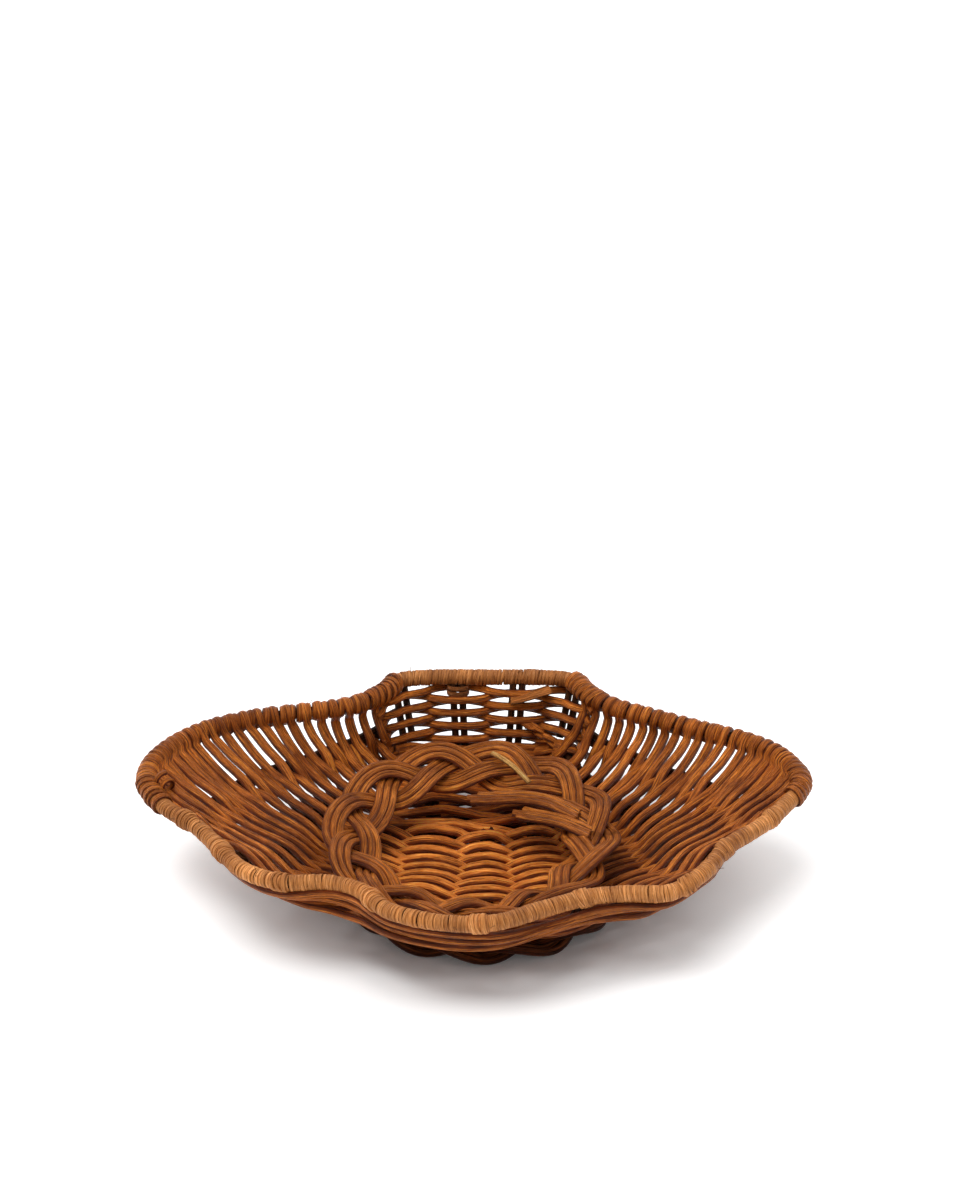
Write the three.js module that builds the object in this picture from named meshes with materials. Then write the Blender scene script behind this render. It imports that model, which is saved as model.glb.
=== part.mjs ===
// Shell-shaped rattan dish: four bound rim rods, a fan of ribs and woven rows,
// a small woven back panel, a plaited ring inside and a plaited foot below.
// Millimetres, +Z up, the front edge of the dish towards -Y.
import * as THREE from 'three';

// Driving dimensions
const HALF_WIDTH = 173;
const HALF_DEPTH = 111.5;
const RIM_HEIGHT = 64.5;
const CANE_D = 3.9;
const CANE_HALF = 0.443 * CANE_D;
const RIB_R = 2.1;
const RIB_HALF_W = 3.3;
const STAKE_HALF_W = 5.1;
const BINDING_R = 4.4;
const BINDING_BORE_R = 3.2;
const ROD_R = 2.85;
const GAP = 0.46;
const END_GAP = 0.5;
const FLOOR_R = 58;
const CENTRE = new THREE.Vector2(2, -5);
const FAN_ROWS = 25;
const FAN_RIBS = 4;
const BACK_ROWS = 6;
const BACK_PITCH = 4.7;
const STAKE_PITCH = 33.4;
const HINGE_X = 6.9;
const WRAP_PITCH = 4.7;
const RING_R = 62.5;
const RING_SWAY = 10.6;
const RING_LIFT = 3.9;
const RING_TURNS = 4;
const FOOT_R = 60;
const FOOT_X = 7;
const FOOT_SWAY = 6.5;
const FOOT_LIFT = 3.8;
const FOOT_HALF_W = 3;
const FOOT_HALF_H = 2.2;
const FOOT_TURNS = 4;
const FOOT_CUT = 0.5;
const FOOT_SEAT = 0.1;

// The weave: rows swing this far either side of the ribs, and rest on the foot
const WEAVE = RIB_R + CANE_HALF + GAP;
const PLAIT_STEPS = 12;
const CREST = Math.sin(Math.PI / 3);
const footMiddle = CREST * (FOOT_LIFT + FOOT_HALF_H) - FOOT_CUT;
const FLOOR_Z = footMiddle + CREST * (FOOT_LIFT + FOOT_HALF_H) + CANE_HALF + WEAVE + FOOT_SEAT;

// The rim's centre line, anticlockwise seen from above, from the right corner
const RIM_POINTS = [
  [171, 14, 53.7], [168, 30, 54.5], [158, 44, 56.2], [141, 55, 57.5], [121, 64, 58],
  [96, 74, 60], [74, 84, 61.5], [61, 96, 63], [53, 108, 64.2], [34, 111.5, 64.5],
  [5, 111.5, 64.5], [-24, 111.5, 64.5], [-42, 108, 64.2], [-50, 96, 63], [-67, 85, 61.5],
  [-93, 80, 60], [-119, 75, 59], [-145, 64, 57.8], [-163, 47, 56.4], [-172, 30, 54.5],
  [-172, 14, 53.2], [-160, -6, 50.7], [-146, -19, 49.5], [-134, -37, 49], [-118, -61, 47.5],
  [-98, -72, 47], [-73, -73, 47], [-58, -80, 47], [-43, -99, 47], [-17, -110, 47],
  [10, -110, 47], [33, -98, 47], [58, -86, 47], [76, -83, 47], [98, -82, 47],
  [115, -66, 48], [130, -40, 49], [146, -24, 50], [159, -8, 51.6],
];
const DRAWN = { halfWidth: 173, halfDepth: 111.5, height: 64.5 };
const rimCurve = new THREE.CatmullRomCurve3(
  RIM_POINTS.map(([x, y, z]) => new THREE.Vector3(
    (x * HALF_WIDTH) / DRAWN.halfWidth,
    (y * HALF_DEPTH) / DRAWN.halfDepth,
    (z * RIM_HEIGHT) / DRAWN.height,
  )),
  true,
);
const RIM_LENGTH = rimCurve.getLength();

// The rim seen from the dish's centre: for each direction its reach and height
const RIM_STEPS = 1440;
const rimSamples = [];
for (let step = 0; step <= RIM_STEPS; step += 1) {
  const point = rimCurve.getPoint(step / RIM_STEPS);
  const u = (point.x - CENTRE.x) / HALF_WIDTH;
  const v = (point.y - CENTRE.y) / HALF_DEPTH;
  let turn = Math.atan2(v, u);
  if (step > 0) {
    const last = rimSamples[step - 1].turn;
    while (turn < last - Math.PI) turn += 2 * Math.PI;
  }
  rimSamples.push({ turn, reach: Math.hypot(u, v), z: point.z });
}

function rimAt(angle) {
  const first = rimSamples[0].turn;
  let turn = angle;
  while (turn < first) turn += 2 * Math.PI;
  while (turn >= first + 2 * Math.PI) turn -= 2 * Math.PI;
  let low = 0;
  let high = RIM_STEPS;
  while (high - low > 1) {
    const middle = (low + high) >> 1;
    if (rimSamples[middle].turn <= turn) low = middle;
    else high = middle;
  }
  const a = rimSamples[low];
  const b = rimSamples[high];
  const part = (turn - a.turn) / Math.max(b.turn - a.turn, 1e-9);
  return { reach: a.reach + (b.reach - a.reach) * part, z: a.z + (b.z - a.z) * part };
}

// The rim's reach without its scallops, which fade out towards the floor
const LOBE = THREE.MathUtils.degToRad(19.6);
function calmRimAt(angle) {
  const here = rimAt(angle);
  const before = rimAt(angle - LOBE);
  const after = rimAt(angle + LOBE);
  return (2 * here.reach + before.reach + after.reach) / 4;
}

// Middle surface of the weave. The plan is a disc of radius 1: its edge is the
// rim, and its middle a flat round floor. The wall is steepest at the back.
function dish(u, v) {
  const angle = Math.atan2(v, u);
  const part = Math.min(Math.hypot(u, v), 1);
  const steep = Math.max(0, Math.sin(angle)) ** 3;
  const rim = rimAt(angle);
  const calm = calmRimAt(angle);
  const reach = calm + (rim.reach - calm) * part ** 7;
  const spread = part + steep * part * part * (1 - part);
  const x = Math.cos(angle) * reach * spread * HALF_WIDTH;
  const y = Math.sin(angle) * reach * spread * HALF_DEPTH;
  const edge = reach * Math.hypot(Math.cos(angle) * HALF_WIDTH, Math.sin(angle) * HALF_DEPTH);
  const front = Math.max(0, -Math.sin(angle)) ** 2;
  const climb = Math.max(0, (Math.hypot(x, y) - FLOOR_R) / (edge - FLOOR_R));
  const z = FLOOR_Z + (rim.z - FLOOR_Z) * climb ** (1.08 + 1.4 * front + 3.7 * steep ** 2);
  return new THREE.Vector3(x + CENTRE.x, y + CENTRE.y, z);
}

function dishNormal(u, v) {
  const d = 0.01;
  const along = dish(u + d, v).sub(dish(u - d, v));
  const across = dish(u, v + d).sub(dish(u, v - d));
  return along.cross(across).normalize();
}

// The fan: a row is an arc of the disc from the left side rim to the right one,
// and a rib crosses all the rows at its own share of their sweep.
const NOTCH = THREE.MathUtils.degToRad(109.5);
const CORNER = THREE.MathUtils.degToRad(168);
const FAN_TOP = 0.74;
const FAN_BOTTOM = -0.8;
const FALL = 0.42;
const BOW = 0.025;
const BACK_SHARE = 0.28;

function bezier(a, b, c, d, t) {
  const r = 1 - t;
  return a * r * r * r + 3 * b * r * r * t + 3 * c * r * t * t + d * t * t * t;
}

function fan(s, t) {
  const end = NOTCH + (CORNER - NOTCH) * (1.3 * s - 0.3 * s * s);
  const endU = Math.cos(end);
  const endV = Math.sin(end);
  const low = FAN_TOP + (FAN_BOTTOM - FAN_TOP) * (1.12 * s - 0.12 * s * s);
  const part = 1 - Math.abs(t);
  const side = Math.sign(t);
  const steepU = bezier(-endU, -endU * (1 - FALL), -endU * 0.5, 0, part);
  const steepV = bezier(endV, endV * (1 - FALL), low, low, part);
  const middle = (1 - low * low) / (2 * (endV - low));
  const radius = middle - low;
  const half = Math.atan2(-endU, -(endV - middle));
  const roundU = Math.sin(half * Math.abs(t)) * radius;
  const roundV = middle - Math.cos(half * t) * radius;
  const mix = s ** 0.8;
  const bow = BOW * 4 * s * (1 - s) * part;
  return [side * (steepU + (roundU - steepU) * mix) + bow, steepV + (roundV - steepV) * mix];
}

// Ribs spread wider behind the ring, where every second one starts lower down
function ribShare(k, s) {
  const side = Math.sign(k);
  const share = (Math.abs(k) / (FAN_RIBS + 1)) ** (1.25 - 0.25 * s);
  const wide = Math.min((Math.abs(k) + 0.45) / (FAN_RIBS + 1.3), 1) * Math.min(1, Math.abs(k));
  const back = Math.max(0, 1 - s / (1.5 * BACK_SHARE)) ** 2;
  return side * (share + (Math.max(wide, share) - share) * back);
}

function ribsAt(s) {
  const all = [-4, -3, -2, -1, 0, 1, 2, 3, 4];
  return s < BACK_SHARE ? all.filter((k) => k !== 0 && Math.abs(k) !== 2) : all;
}

// A closed tube with any outline along a list of points, with flat ends
function sweep(points, normals, outline, closed, tangents) {
  const count = points.length;
  const sides = outline.length;
  const positions = [];
  for (let i = 0; i < count; i += 1) {
    const before = closed ? points[(i + count - 1) % count] : points[Math.max(i - 1, 0)];
    const after = closed ? points[(i + 1) % count] : points[Math.min(i + 1, count - 1)];
    const forward = tangents ? tangents[i] : after.clone().sub(before).normalize();
    const side = new THREE.Vector3().crossVectors(normals[i], forward).normalize();
    const up = new THREE.Vector3().crossVectors(forward, side);
    const scale = outline.scaleAt ? outline.scaleAt(i) : 1;
    for (const [a, b] of outline) {
      const p = points[i].clone().addScaledVector(side, a * scale).addScaledVector(up, b * scale);
      positions.push(p.x, p.y, p.z);
    }
  }
  const faces = [];
  const rings = closed ? count : count - 1;
  for (let i = 0; i < rings; i += 1) {
    const a = i * sides;
    const b = ((i + 1) % count) * sides;
    for (let j = 0; j < sides; j += 1) {
      const k = (j + 1) % sides;
      faces.push(a + j, a + k, b + k, a + j, b + k, b + j);
    }
  }
  if (!closed) {
    const last = (count - 1) * sides;
    for (let j = 1; j < sides - 1; j += 1) {
      faces.push(0, j + 1, j, last, last + j, last + j + 1);
    }
  }
  const geometry = new THREE.BufferGeometry();
  geometry.setAttribute('position', new THREE.Float32BufferAttribute(positions, 3));
  geometry.setIndex(faces);
  geometry.computeVertexNormals();
  return geometry;
}

function oval(halfWidth, halfHeight, sides, start = 0.5) {
  const outline = [];
  for (let j = 0; j < sides; j += 1) {
    const angle = (2 * Math.PI * (j + start)) / sides;
    outline.push([Math.cos(angle) * halfWidth, Math.sin(angle) * halfHeight]);
  }
  return outline;
}

const rattan = { color: 0xa55f2d, roughness: 0.55, metalness: 0 };
const darkRattan = { color: 0x7d4520, roughness: 0.6, metalness: 0 };
const paleBinding = { color: 0xb0713f, roughness: 0.6, metalness: 0 };
const dishGroup = new THREE.Group();

function addPiece(name, geometry, look) {
  const mesh = new THREE.Mesh(geometry, new THREE.MeshStandardMaterial(look));
  mesh.name = name;
  dishGroup.add(mesh);
  return mesh;
}

// Rim: four rods, each inside a bound sleeve, which butt at the four corners
const JOINTS = {
  right_corner: 0,
  right_notch: 7.6 / RIM_POINTS.length,
  left_notch: 12.55 / RIM_POINTS.length,
  left_corner: 20.4 / RIM_POINTS.length,
};

function rimSpan(start, end, pitch) {
  const points = [];
  const normals = [];
  const tangents = [];
  const span = end - start;
  const steps = Math.round((span * RIM_LENGTH) / pitch);
  const trim = (0.5 * END_GAP) / RIM_LENGTH;
  for (let i = 0; i <= steps; i += 1) {
    const at = start + trim + ((span - 2 * trim) * i) / steps;
    points.push(rimCurve.getPoint((at + 1) % 1));
    normals.push(new THREE.Vector3(0, 0, 1));
    tangents.push(rimCurve.getTangent((at + 1) % 1));
  }
  return { points, normals, tangents };
}

// A sleeve: an outer wall on one line, a bore on a coarser one with the same ends
function sleeve(line, boreLine, outerAt, boreR, sides) {
  const outer = oval(1, 1, sides);
  outer.scaleAt = outerAt;
  const wall = sweep(line.points, line.normals, outer, false, line.tangents);
  const bore = oval(boreR, boreR, sides);
  const hollow = sweep(boreLine.points, boreLine.normals, bore, false, boreLine.tangents);
  const outside = wall.attributes.position.array;
  const inside = hollow.attributes.position.array;
  const offset = outside.length / 3;
  const wallEnd = (line.points.length - 1) * sides;
  const boreEnd = (boreLine.points.length - 1) * sides;
  const faces = [];
  for (let j = 0; j < sides; j += 1) {
    const k = (j + 1) % sides;
    for (let i = 0; i < wallEnd; i += sides) {
      const next = i + sides;
      faces.push(i + j, i + k, next + k, i + j, next + k, next + j);
    }
    for (let i = offset; i < offset + boreEnd; i += sides) {
      const next = i + sides;
      faces.push(i + j, next + k, i + k, i + j, next + j, next + k);
    }
    faces.push(j, offset + j, offset + k, j, offset + k, k);
    const [a, b] = [offset + boreEnd + j, offset + boreEnd + k];
    faces.push(wallEnd + j, b, a, wallEnd + j, wallEnd + k, b);
  }
  const geometry = new THREE.BufferGeometry();
  const all = new THREE.Float32BufferAttribute([...outside, ...inside], 3);
  geometry.setAttribute('position', all);
  geometry.setIndex(faces);
  geometry.computeVertexNormals();
  return geometry;
}

function addRim(name, start, end, wrapped) {
  const sides = wrapped ? 5 : 6;
  const line = rimSpan(start, end, wrapped ? WRAP_PITCH / 2 : 2 * WRAP_PITCH);
  const core = rimSpan(start, end, 2.5 * WRAP_PITCH);
  const radiusAt = (i) => (wrapped && i % 2 === 0 ? BINDING_R - 0.7 : BINDING_R);
  const binding = sleeve(line, core, radiusAt, BINDING_BORE_R, sides);
  addPiece(`${name}_binding`, binding, paleBinding);
  const rod = sweep(core.points, core.normals, oval(ROD_R, ROD_R, sides), false, core.tangents);
  addPiece(`${name}_rod`, rod, darkRattan);
}

addRim('right_rim', JOINTS.right_corner, JOINTS.right_notch, true);
addRim('hinge_bar', JOINTS.right_notch, JOINTS.left_notch, false);
addRim('left_rim', JOINTS.left_notch, JOINTS.left_corner, true);
addRim('front_rim', JOINTS.left_corner, 1, false);

// Distance from a point to the rim's centre line
const rimLine = rimCurve.getPoints(400);
function rimDistance(point) {
  let least = Infinity;
  for (const sample of rimLine) {
    least = Math.min(least, sample.distanceTo(point));
  }
  return least;
}

// Fan rows: each goes over one rib and under the next
const CANE = oval(CANE_HALF * Math.SQRT2, CANE_HALF * Math.SQRT2, 4);
const wovenPoints = [];

// Places along a row, counted in ribs: level over each rib, and halfway between
const LONG_SPAN = 30;
function rowStops(ribs, level, span) {
  const stops = [];
  for (let i = 0; i < ribs.length; i += 1) {
    const k = ribs[i];
    const flat = level(k);
    stops.push([k - flat, i], [k + flat, i]);
    if (i === ribs.length - 1) continue;
    const gap = ribs[i + 1] - k;
    if (gap * span(k) > LONG_SPAN) stops.push([k + gap / 2, null]);
  }
  return stops;
}

function rowHeight(stop, row) {
  if (stop === null) return 0;
  return (stop + row) % 2 === 0 ? WEAVE : -WEAVE;
}

// The fan's outermost ribs lie behind all its rows
function fanHeight(stop, row, ribs) {
  return stop === 0 || stop === ribs.length - 1 ? WEAVE / 2 : rowHeight(stop, row);
}

function refine(list, pieces) {
  const fine = [];
  for (let i = 0; i < list.length - 1; i += 1) {
    for (let j = 0; j < pieces; j += 1) {
      fine.push(list[i].clone().lerp(list[i + 1], j / pieces));
    }
  }
  fine.push(list[list.length - 1].clone());
  return fine;
}

// Cuts a row's ends back until they clear the rim and the rows already laid
function trimEnd(points, normals, clear, others, rowClear) {
  const blocked = (p) => rimDistance(p) < clear
    || others.some((q) => p.distanceToSquared(q) < rowClear * rowClear);
  for (const end of [0, -1]) {
    const take = () => (end === 0 ? points.shift() : points.pop());
    let lost = null;
    while (points.length > 3 && blocked(points.at(end))) {
      lost = take();
      if (end === 0) normals.shift();
      else normals.pop();
    }
    if (lost === null) continue;
    const kept = points.at(end);
    const steps = 20;
    for (let i = 1; i <= steps; i += 1) {
      const trial = kept.clone().lerp(lost, i / steps);
      if (!blocked(trial)) continue;
      if (i > 2) {
        const place = kept.clone().lerp(lost, (i - 1) / steps);
        if (end === 0) {
          points.unshift(place);
          normals.unshift(normals[0]);
        } else {
          points.push(place);
          normals.push(normals.at(-1));
        }
      }
      break;
    }
  }
}

const ROW_CLEAR = 2 * CANE_HALF + GAP + 0.2;
function addRow(name, points, normals, others, extra) {
  trimEnd(points, normals, BINDING_R + END_GAP + 0.6 + extra, others, ROW_CLEAR);
  wovenPoints.push(...refine(points, 6));
  addPiece(name, sweep(points, normals, CANE, false), rattan);
  return refine(points, 6);
}

function dishSpan(k, s) {
  const [u, v] = fan(s, ribShare(k, s));
  const [nextU, nextV] = fan(s, ribShare(k + 0.1, s));
  return dish(u, v).distanceTo(dish(nextU, nextV)) * 10;
}

let lastRow = [];
let firstRow = [];
for (let row = 0; row < FAN_ROWS; row += 1) {
  const s = (row + 0.5) / FAN_ROWS;
  const level = (k) => Math.min(0.32, (RIB_HALF_W + (s < BACK_SHARE ? 1.3 : 0.6)) / dishSpan(k, s));
  const ribs = ribsAt(s);
  const stops = rowStops(ribs, level, (k) => dishSpan(k, s));
  const end = FAN_RIBS + 1;
  stops.unshift([-end, null], [-end + 0.5, null]);
  stops.push([end - 0.5, null], [end, null]);
  const points = [];
  const normals = [];
  for (const [number, rib] of stops) {
    const [u, v] = fan(s, ribShare(number, s));
    const normal = dishNormal(u, v);
    points.push(dish(u, v).addScaledVector(normal, fanHeight(rib, row, ribs)));
    normals.push(normal);
  }
  lastRow = addRow(`fan_row_${String(row + 1).padStart(2, '0')}`, points, normals, lastRow, s > 0.75 ? 1.7 : 0);
  if (row === 0) firstRow = lastRow;
}

// Ribs and stakes: each a pair of canes side by side, drawn as one flat oval
function thin(list, stride) {
  const last = list.length - 1;
  return list.filter((_, i) => i === last || (i % stride === 0 && i < last - stride / 2));
}

function addRib(name, places, halfWidth, clear, behind) {
  const normals = places.map(([u, v]) => dishNormal(u, v));
  const points = places.map(([u, v], i) => dish(u, v).addScaledVector(normals[i], -behind));
  trimEnd(points, normals, clear, [], 0);
  const pair = oval(halfWidth, RIB_R, 6);
  addPiece(name, sweep(thin(points, 3), thin(normals, 3), pair, false), darkRattan);
}

for (let k = -FAN_RIBS; k <= FAN_RIBS; k += 1) {
  const places = [];
  const steps = 50;
  const start = ribsAt(0).includes(k) ? 1 : Math.round(BACK_SHARE * steps);
  for (let i = start; i <= steps; i += 1) {
    places.push(fan(i / steps, ribShare(k, i / steps)));
  }
  const [u, v] = places.at(-1);
  const reach = Math.hypot(u, v);
  for (let part = reach + 0.01; part < 0.995; part += 0.01) {
    places.push([(u * part) / reach, (v * part) / reach]);
  }
  const clear = BINDING_R + END_GAP + [0, 0, 1.2, 1.2, RIB_HALF_W][Math.abs(k)];
  const behind = Math.abs(k) === FAN_RIBS ? WEAVE / 2 : 0;
  addRib(`fan_rib_${k + FAN_RIBS + 1}`, places, RIB_HALF_W, clear, behind);
}

// Back panel: four stakes hang from the hinge bar and turn in along the floor
const STAKES = [-1.5, -0.5, 0.5, 1.5];
const STAKE_FOOT = 0.735;

function backAngle(number) {
  const x = HINGE_X + number * STAKE_PITCH - CENTRE.x;
  return Math.atan2((HALF_DEPTH - CENTRE.y) / HALF_DEPTH, x / HALF_WIDTH);
}

for (const number of STAKES) {
  const angle = backAngle(number);
  const places = [];
  for (let part = STAKE_FOOT + 0.05 * (Math.abs(number) - 0.5); part < 1; part += 0.01) {
    places.push([Math.cos(angle) * part, Math.sin(angle) * part]);
  }
  const clear = BINDING_R + END_GAP + (Math.abs(number) > 1 ? 1.2 : 0);
  addRib(`back_stake_${number + 2.5}`, places, STAKE_HALF_W, clear, 0);
}

// Where the dish's middle surface has a given height, on one bearing
function partAtHeight(angle, z) {
  let low = 0.3;
  let high = 1;
  while (high - low > 1e-4) {
    const middle = (low + high) / 2;
    if (dish(Math.cos(angle) * middle, Math.sin(angle) * middle).z < z) low = middle;
    else high = middle;
  }
  return low;
}

const BACK_TOP = RIM_HEIGHT - 7.2;
let lastBack = [];
for (let row = 0; row < BACK_ROWS; row += 1) {
  const level = () => (STAKE_HALF_W + 0.9) / STAKE_PITCH;
  const place = ([number, stake]) => {
    const angle = backAngle(number - 1.5);
    const part = partAtHeight(angle, BACK_TOP - row * BACK_PITCH);
    const u = Math.cos(angle) * part;
    const v = Math.sin(angle) * part;
    const normal = dishNormal(u, v);
    const swing = stake === 0 || stake === 3 ? 1.2 : 1.12;
    return { normal, point: dish(u, v).addScaledVector(normal, swing * rowHeight(stake, row)) };
  };
  const stops = rowStops([0, 1, 2, 3], level, () => STAKE_PITCH);
  const near = [...firstRow, ...lastBack];
  const meets = (from, to) => refine([place(from).point, place(to).point], 12)
    .some((p) => near.some((q) => p.distanceToSquared(q) < ROW_CLEAR * ROW_CLEAR));
  let left = -0.4;
  while (left < -0.25 && meets(stops[0], [left, null])) left += 0.01;
  let right = 3.4;
  while (right > 3.25 && meets(stops.at(-1), [right, null])) right -= 0.01;
  if (left < -0.25) stops.unshift([left, null]);
  if (right > 3.25) stops.push([right, null]);
  const points = stops.map((stop) => place(stop).point);
  const normals = stops.map((stop) => place(stop).normal);
  lastBack = addRow(`back_row_${row + 1}`, points, normals, near, 0);
}

// Outside canes that run under the front rim from corner to corner. They keep
// to the calm outline, so the rim's scallops swing in and out above them.
const WALE_STEPS = 44;
function addWale(name, high, dip, out, from, to) {
  const points = [];
  const normals = [];
  for (let i = 0; i <= WALE_STEPS; i += 1) {
    const angle = THREE.MathUtils.degToRad(from + ((to - from) * i) / WALE_STEPS);
    const wave = 0.5 + 0.5 * Math.cos(((angle - 1.5 * Math.PI) * Math.PI) / LOBE);
    const part = high - dip * wave;
    const u = Math.cos(angle) * part;
    const v = Math.sin(angle) * part;
    const normal = dishNormal(u, v);
    points.push(dish(u, v).addScaledVector(normal, -out));
    normals.push(normal);
  }
  addPiece(name, sweep(points, normals, CANE, false), rattan);
}
const WALE_OUT = WEAVE + 0.8;
addWale('upper_waling_cane', 0.95, 0, WALE_OUT, 188, 352);
addWale('lower_waling_cane', 0.915, 0.02, WALE_OUT + 1.2 * CANE_HALF, 196, 344);

// A three-strand plait laid in a ring, stepped so that its crests come out level.
// Its band slopes up and outwards by the flare angle.
function plait({ radius, sway, lift, turns, flare, lean, centre }, strand, height, finer = 1) {
  const points = [];
  const normals = [];
  const steps = turns * PLAIT_STEPS * finer;
  for (let i = 0; i < steps; i += 1) {
    const angle = (2 * Math.PI * i) / steps;
    const phase = turns * angle + (2 * Math.PI * strand) / 3;
    const outward = new THREE.Vector3(Math.cos(angle), Math.sin(angle), 0);
    const along = outward.clone().multiplyScalar(Math.cos(flare));
    along.z = Math.sin(flare);
    const normal = outward.clone().multiplyScalar(-Math.sin(flare));
    normal.z = Math.cos(flare);
    const point = outward.clone().multiplyScalar(radius);
    point.addScaledVector(along, sway * Math.sin(phase));
    point.addScaledVector(normal, lift * Math.sin(2 * phase));
    point.z += point.y * lean + height;
    points.push(point.add(centre));
    normals.push(normal);
  }
  return { points, normals };
}

// Plaited ring inside the dish, which rests on the weave
const RING_HALF_W = 3.9;
const RING_HALF_H = 2.6;
const RING = {
  radius: RING_R,
  sway: RING_SWAY,
  lift: RING_LIFT,
  turns: RING_TURNS,
  flare: THREE.MathUtils.degToRad(18),
  lean: Math.tan(THREE.MathUtils.degToRad(6.8)),
  centre: new THREE.Vector3(-2, -14.6, 0),
};

function leastGap(pointsA, pointsB) {
  let least = Infinity;
  for (const a of pointsA) {
    for (const b of pointsB) {
      least = Math.min(least, a.distanceToSquared(b));
    }
  }
  return Math.sqrt(least);
}

const ringTest = [0, 1, 2].flatMap((strand) => plait(RING, strand, 0, 3).points);
const nearRing = wovenPoints.filter((p) => Math.hypot(p.x, p.y) < 1.8 * RING_R);
const ringClear = CANE_HALF + RING_HALF_H + 2.1 * GAP;
let ringHeight = FLOOR_Z + WEAVE;
while (true) {
  const lifted = ringTest.map((p) => new THREE.Vector3(p.x, p.y, p.z + ringHeight));
  if (leastGap(lifted, nearRing) > ringClear) break;
  ringHeight += 0.1;
}
for (let strand = 0; strand < 3; strand += 1) {
  const line = plait(RING, strand, ringHeight);
  const geometry = sweep(line.points, line.normals, oval(RING_HALF_W, RING_HALF_H, 6, 0), true);
  addPiece(`ring_strand_${strand + 1}`, geometry, rattan);
}

// Plaited foot: cut flat where the dish stands
const FOOT = {
  radius: FOOT_R,
  sway: FOOT_SWAY,
  lift: FOOT_LIFT,
  turns: FOOT_TURNS,
  flare: 0,
  lean: 0,
  centre: new THREE.Vector3(FOOT_X, CENTRE.y, 0),
};
for (let strand = 0; strand < 3; strand += 1) {
  const line = plait(FOOT, strand, footMiddle);
  const geometry = sweep(line.points, line.normals, oval(FOOT_HALF_W, FOOT_HALF_H, 6, 0), true);
  const place = geometry.attributes.position;
  for (let i = 0; i < place.count; i += 1) {
    place.setZ(i, Math.max(0, place.getZ(i)));
  }
  addPiece(`foot_strand_${strand + 1}`, geometry, darkRattan);
}

// The origin is the middle of the dish's footprint, on the ground
const extent = new THREE.Box3().setFromObject(dishGroup);
const middle = extent.getCenter(new THREE.Vector3());
dishGroup.position.set(-middle.x, -middle.y, 0);

export default dishGroup;
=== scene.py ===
import random
from bisect import bisect_left, bisect_right
from math import atan2, copysign, cos, hypot, pi, radians, sin, tan, tau

import bmesh
import bpy
from mathutils import Matrix, Vector


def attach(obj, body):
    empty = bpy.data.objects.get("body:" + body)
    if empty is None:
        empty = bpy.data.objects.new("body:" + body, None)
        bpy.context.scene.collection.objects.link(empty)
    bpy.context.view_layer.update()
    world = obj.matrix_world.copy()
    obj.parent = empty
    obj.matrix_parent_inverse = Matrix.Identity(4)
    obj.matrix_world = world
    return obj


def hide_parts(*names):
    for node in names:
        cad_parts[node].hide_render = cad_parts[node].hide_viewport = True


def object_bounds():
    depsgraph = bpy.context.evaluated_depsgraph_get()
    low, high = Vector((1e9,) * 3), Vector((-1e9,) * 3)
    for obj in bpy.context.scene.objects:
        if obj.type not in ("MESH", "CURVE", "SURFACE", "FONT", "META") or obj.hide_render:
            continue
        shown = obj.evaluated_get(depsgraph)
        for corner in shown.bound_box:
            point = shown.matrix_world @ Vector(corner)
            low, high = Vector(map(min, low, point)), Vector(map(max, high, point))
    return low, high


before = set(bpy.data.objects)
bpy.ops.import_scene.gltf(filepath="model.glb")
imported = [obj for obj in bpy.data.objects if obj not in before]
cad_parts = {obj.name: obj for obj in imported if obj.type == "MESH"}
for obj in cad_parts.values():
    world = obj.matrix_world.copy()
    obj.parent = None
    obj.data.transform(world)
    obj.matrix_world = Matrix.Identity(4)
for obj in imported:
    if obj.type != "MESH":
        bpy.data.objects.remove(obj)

bl_info = {
    "name": "Rattan shell dish",
    "version": (1, 0, 0),
    "blender": (4, 5, 0),
    "location": "3D View > Sidebar > Rattan dish",
    "description": "Builds the canes, plaits and bindings of a shell-shaped rattan dish",
    "category": "Add Mesh",
}

MM = 0.001
BOX_LOW, BOX_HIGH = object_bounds()

# The dish as it is drawn, in millimetres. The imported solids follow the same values. SWING is
# how far a row's middle lies above or below the rib that it crosses.
DRAWN_BOX = Vector((353.04, 230.9, 68.93))
ORIGIN = Vector((0.922, -0.199, 0.0))
CENTRE = Vector((2.0, -5.0))
HALF_WIDTH = 173.0
HALF_DEPTH = 111.5
FLOOR_R = 58.0
FLOOR_Z = 16.02
SWING = 4.25
ROD_R = 2.75
RIM_POINTS = [
    (171, 14, 53.7), (168, 30, 54.5), (158, 44, 56.2), (141, 55, 57.5), (121, 64, 58),
    (96, 74, 60), (74, 84, 61.5), (61, 96, 63), (53, 108, 64.2), (34, 111.5, 64.5),
    (5, 111.5, 64.5), (-24, 111.5, 64.5), (-42, 108, 64.2), (-50, 96, 63), (-67, 85, 61.5),
    (-93, 80, 60), (-119, 75, 59), (-145, 64, 57.8), (-163, 47, 56.4), (-172, 30, 54.5),
    (-172, 14, 53.2), (-160, -6, 50.7), (-146, -19, 49.5), (-134, -37, 49), (-118, -61, 47.5),
    (-98, -72, 47), (-73, -73, 47), (-58, -80, 47), (-43, -99, 47), (-17, -110, 47),
    (10, -110, 47), (33, -98, 47), (58, -86, 47), (76, -83, 47), (98, -82, 47),
    (115, -66, 48), (130, -40, 49), (146, -24, 50), (159, -8, 51.6),
]

# Where the lengths of the rim meet, as shares of the way round from the right corner
RIGHT_NOTCH = 7.6 / 39
LEFT_NOTCH = 12.55 / 39
LEFT_CORNER = 20.4 / 39

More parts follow.
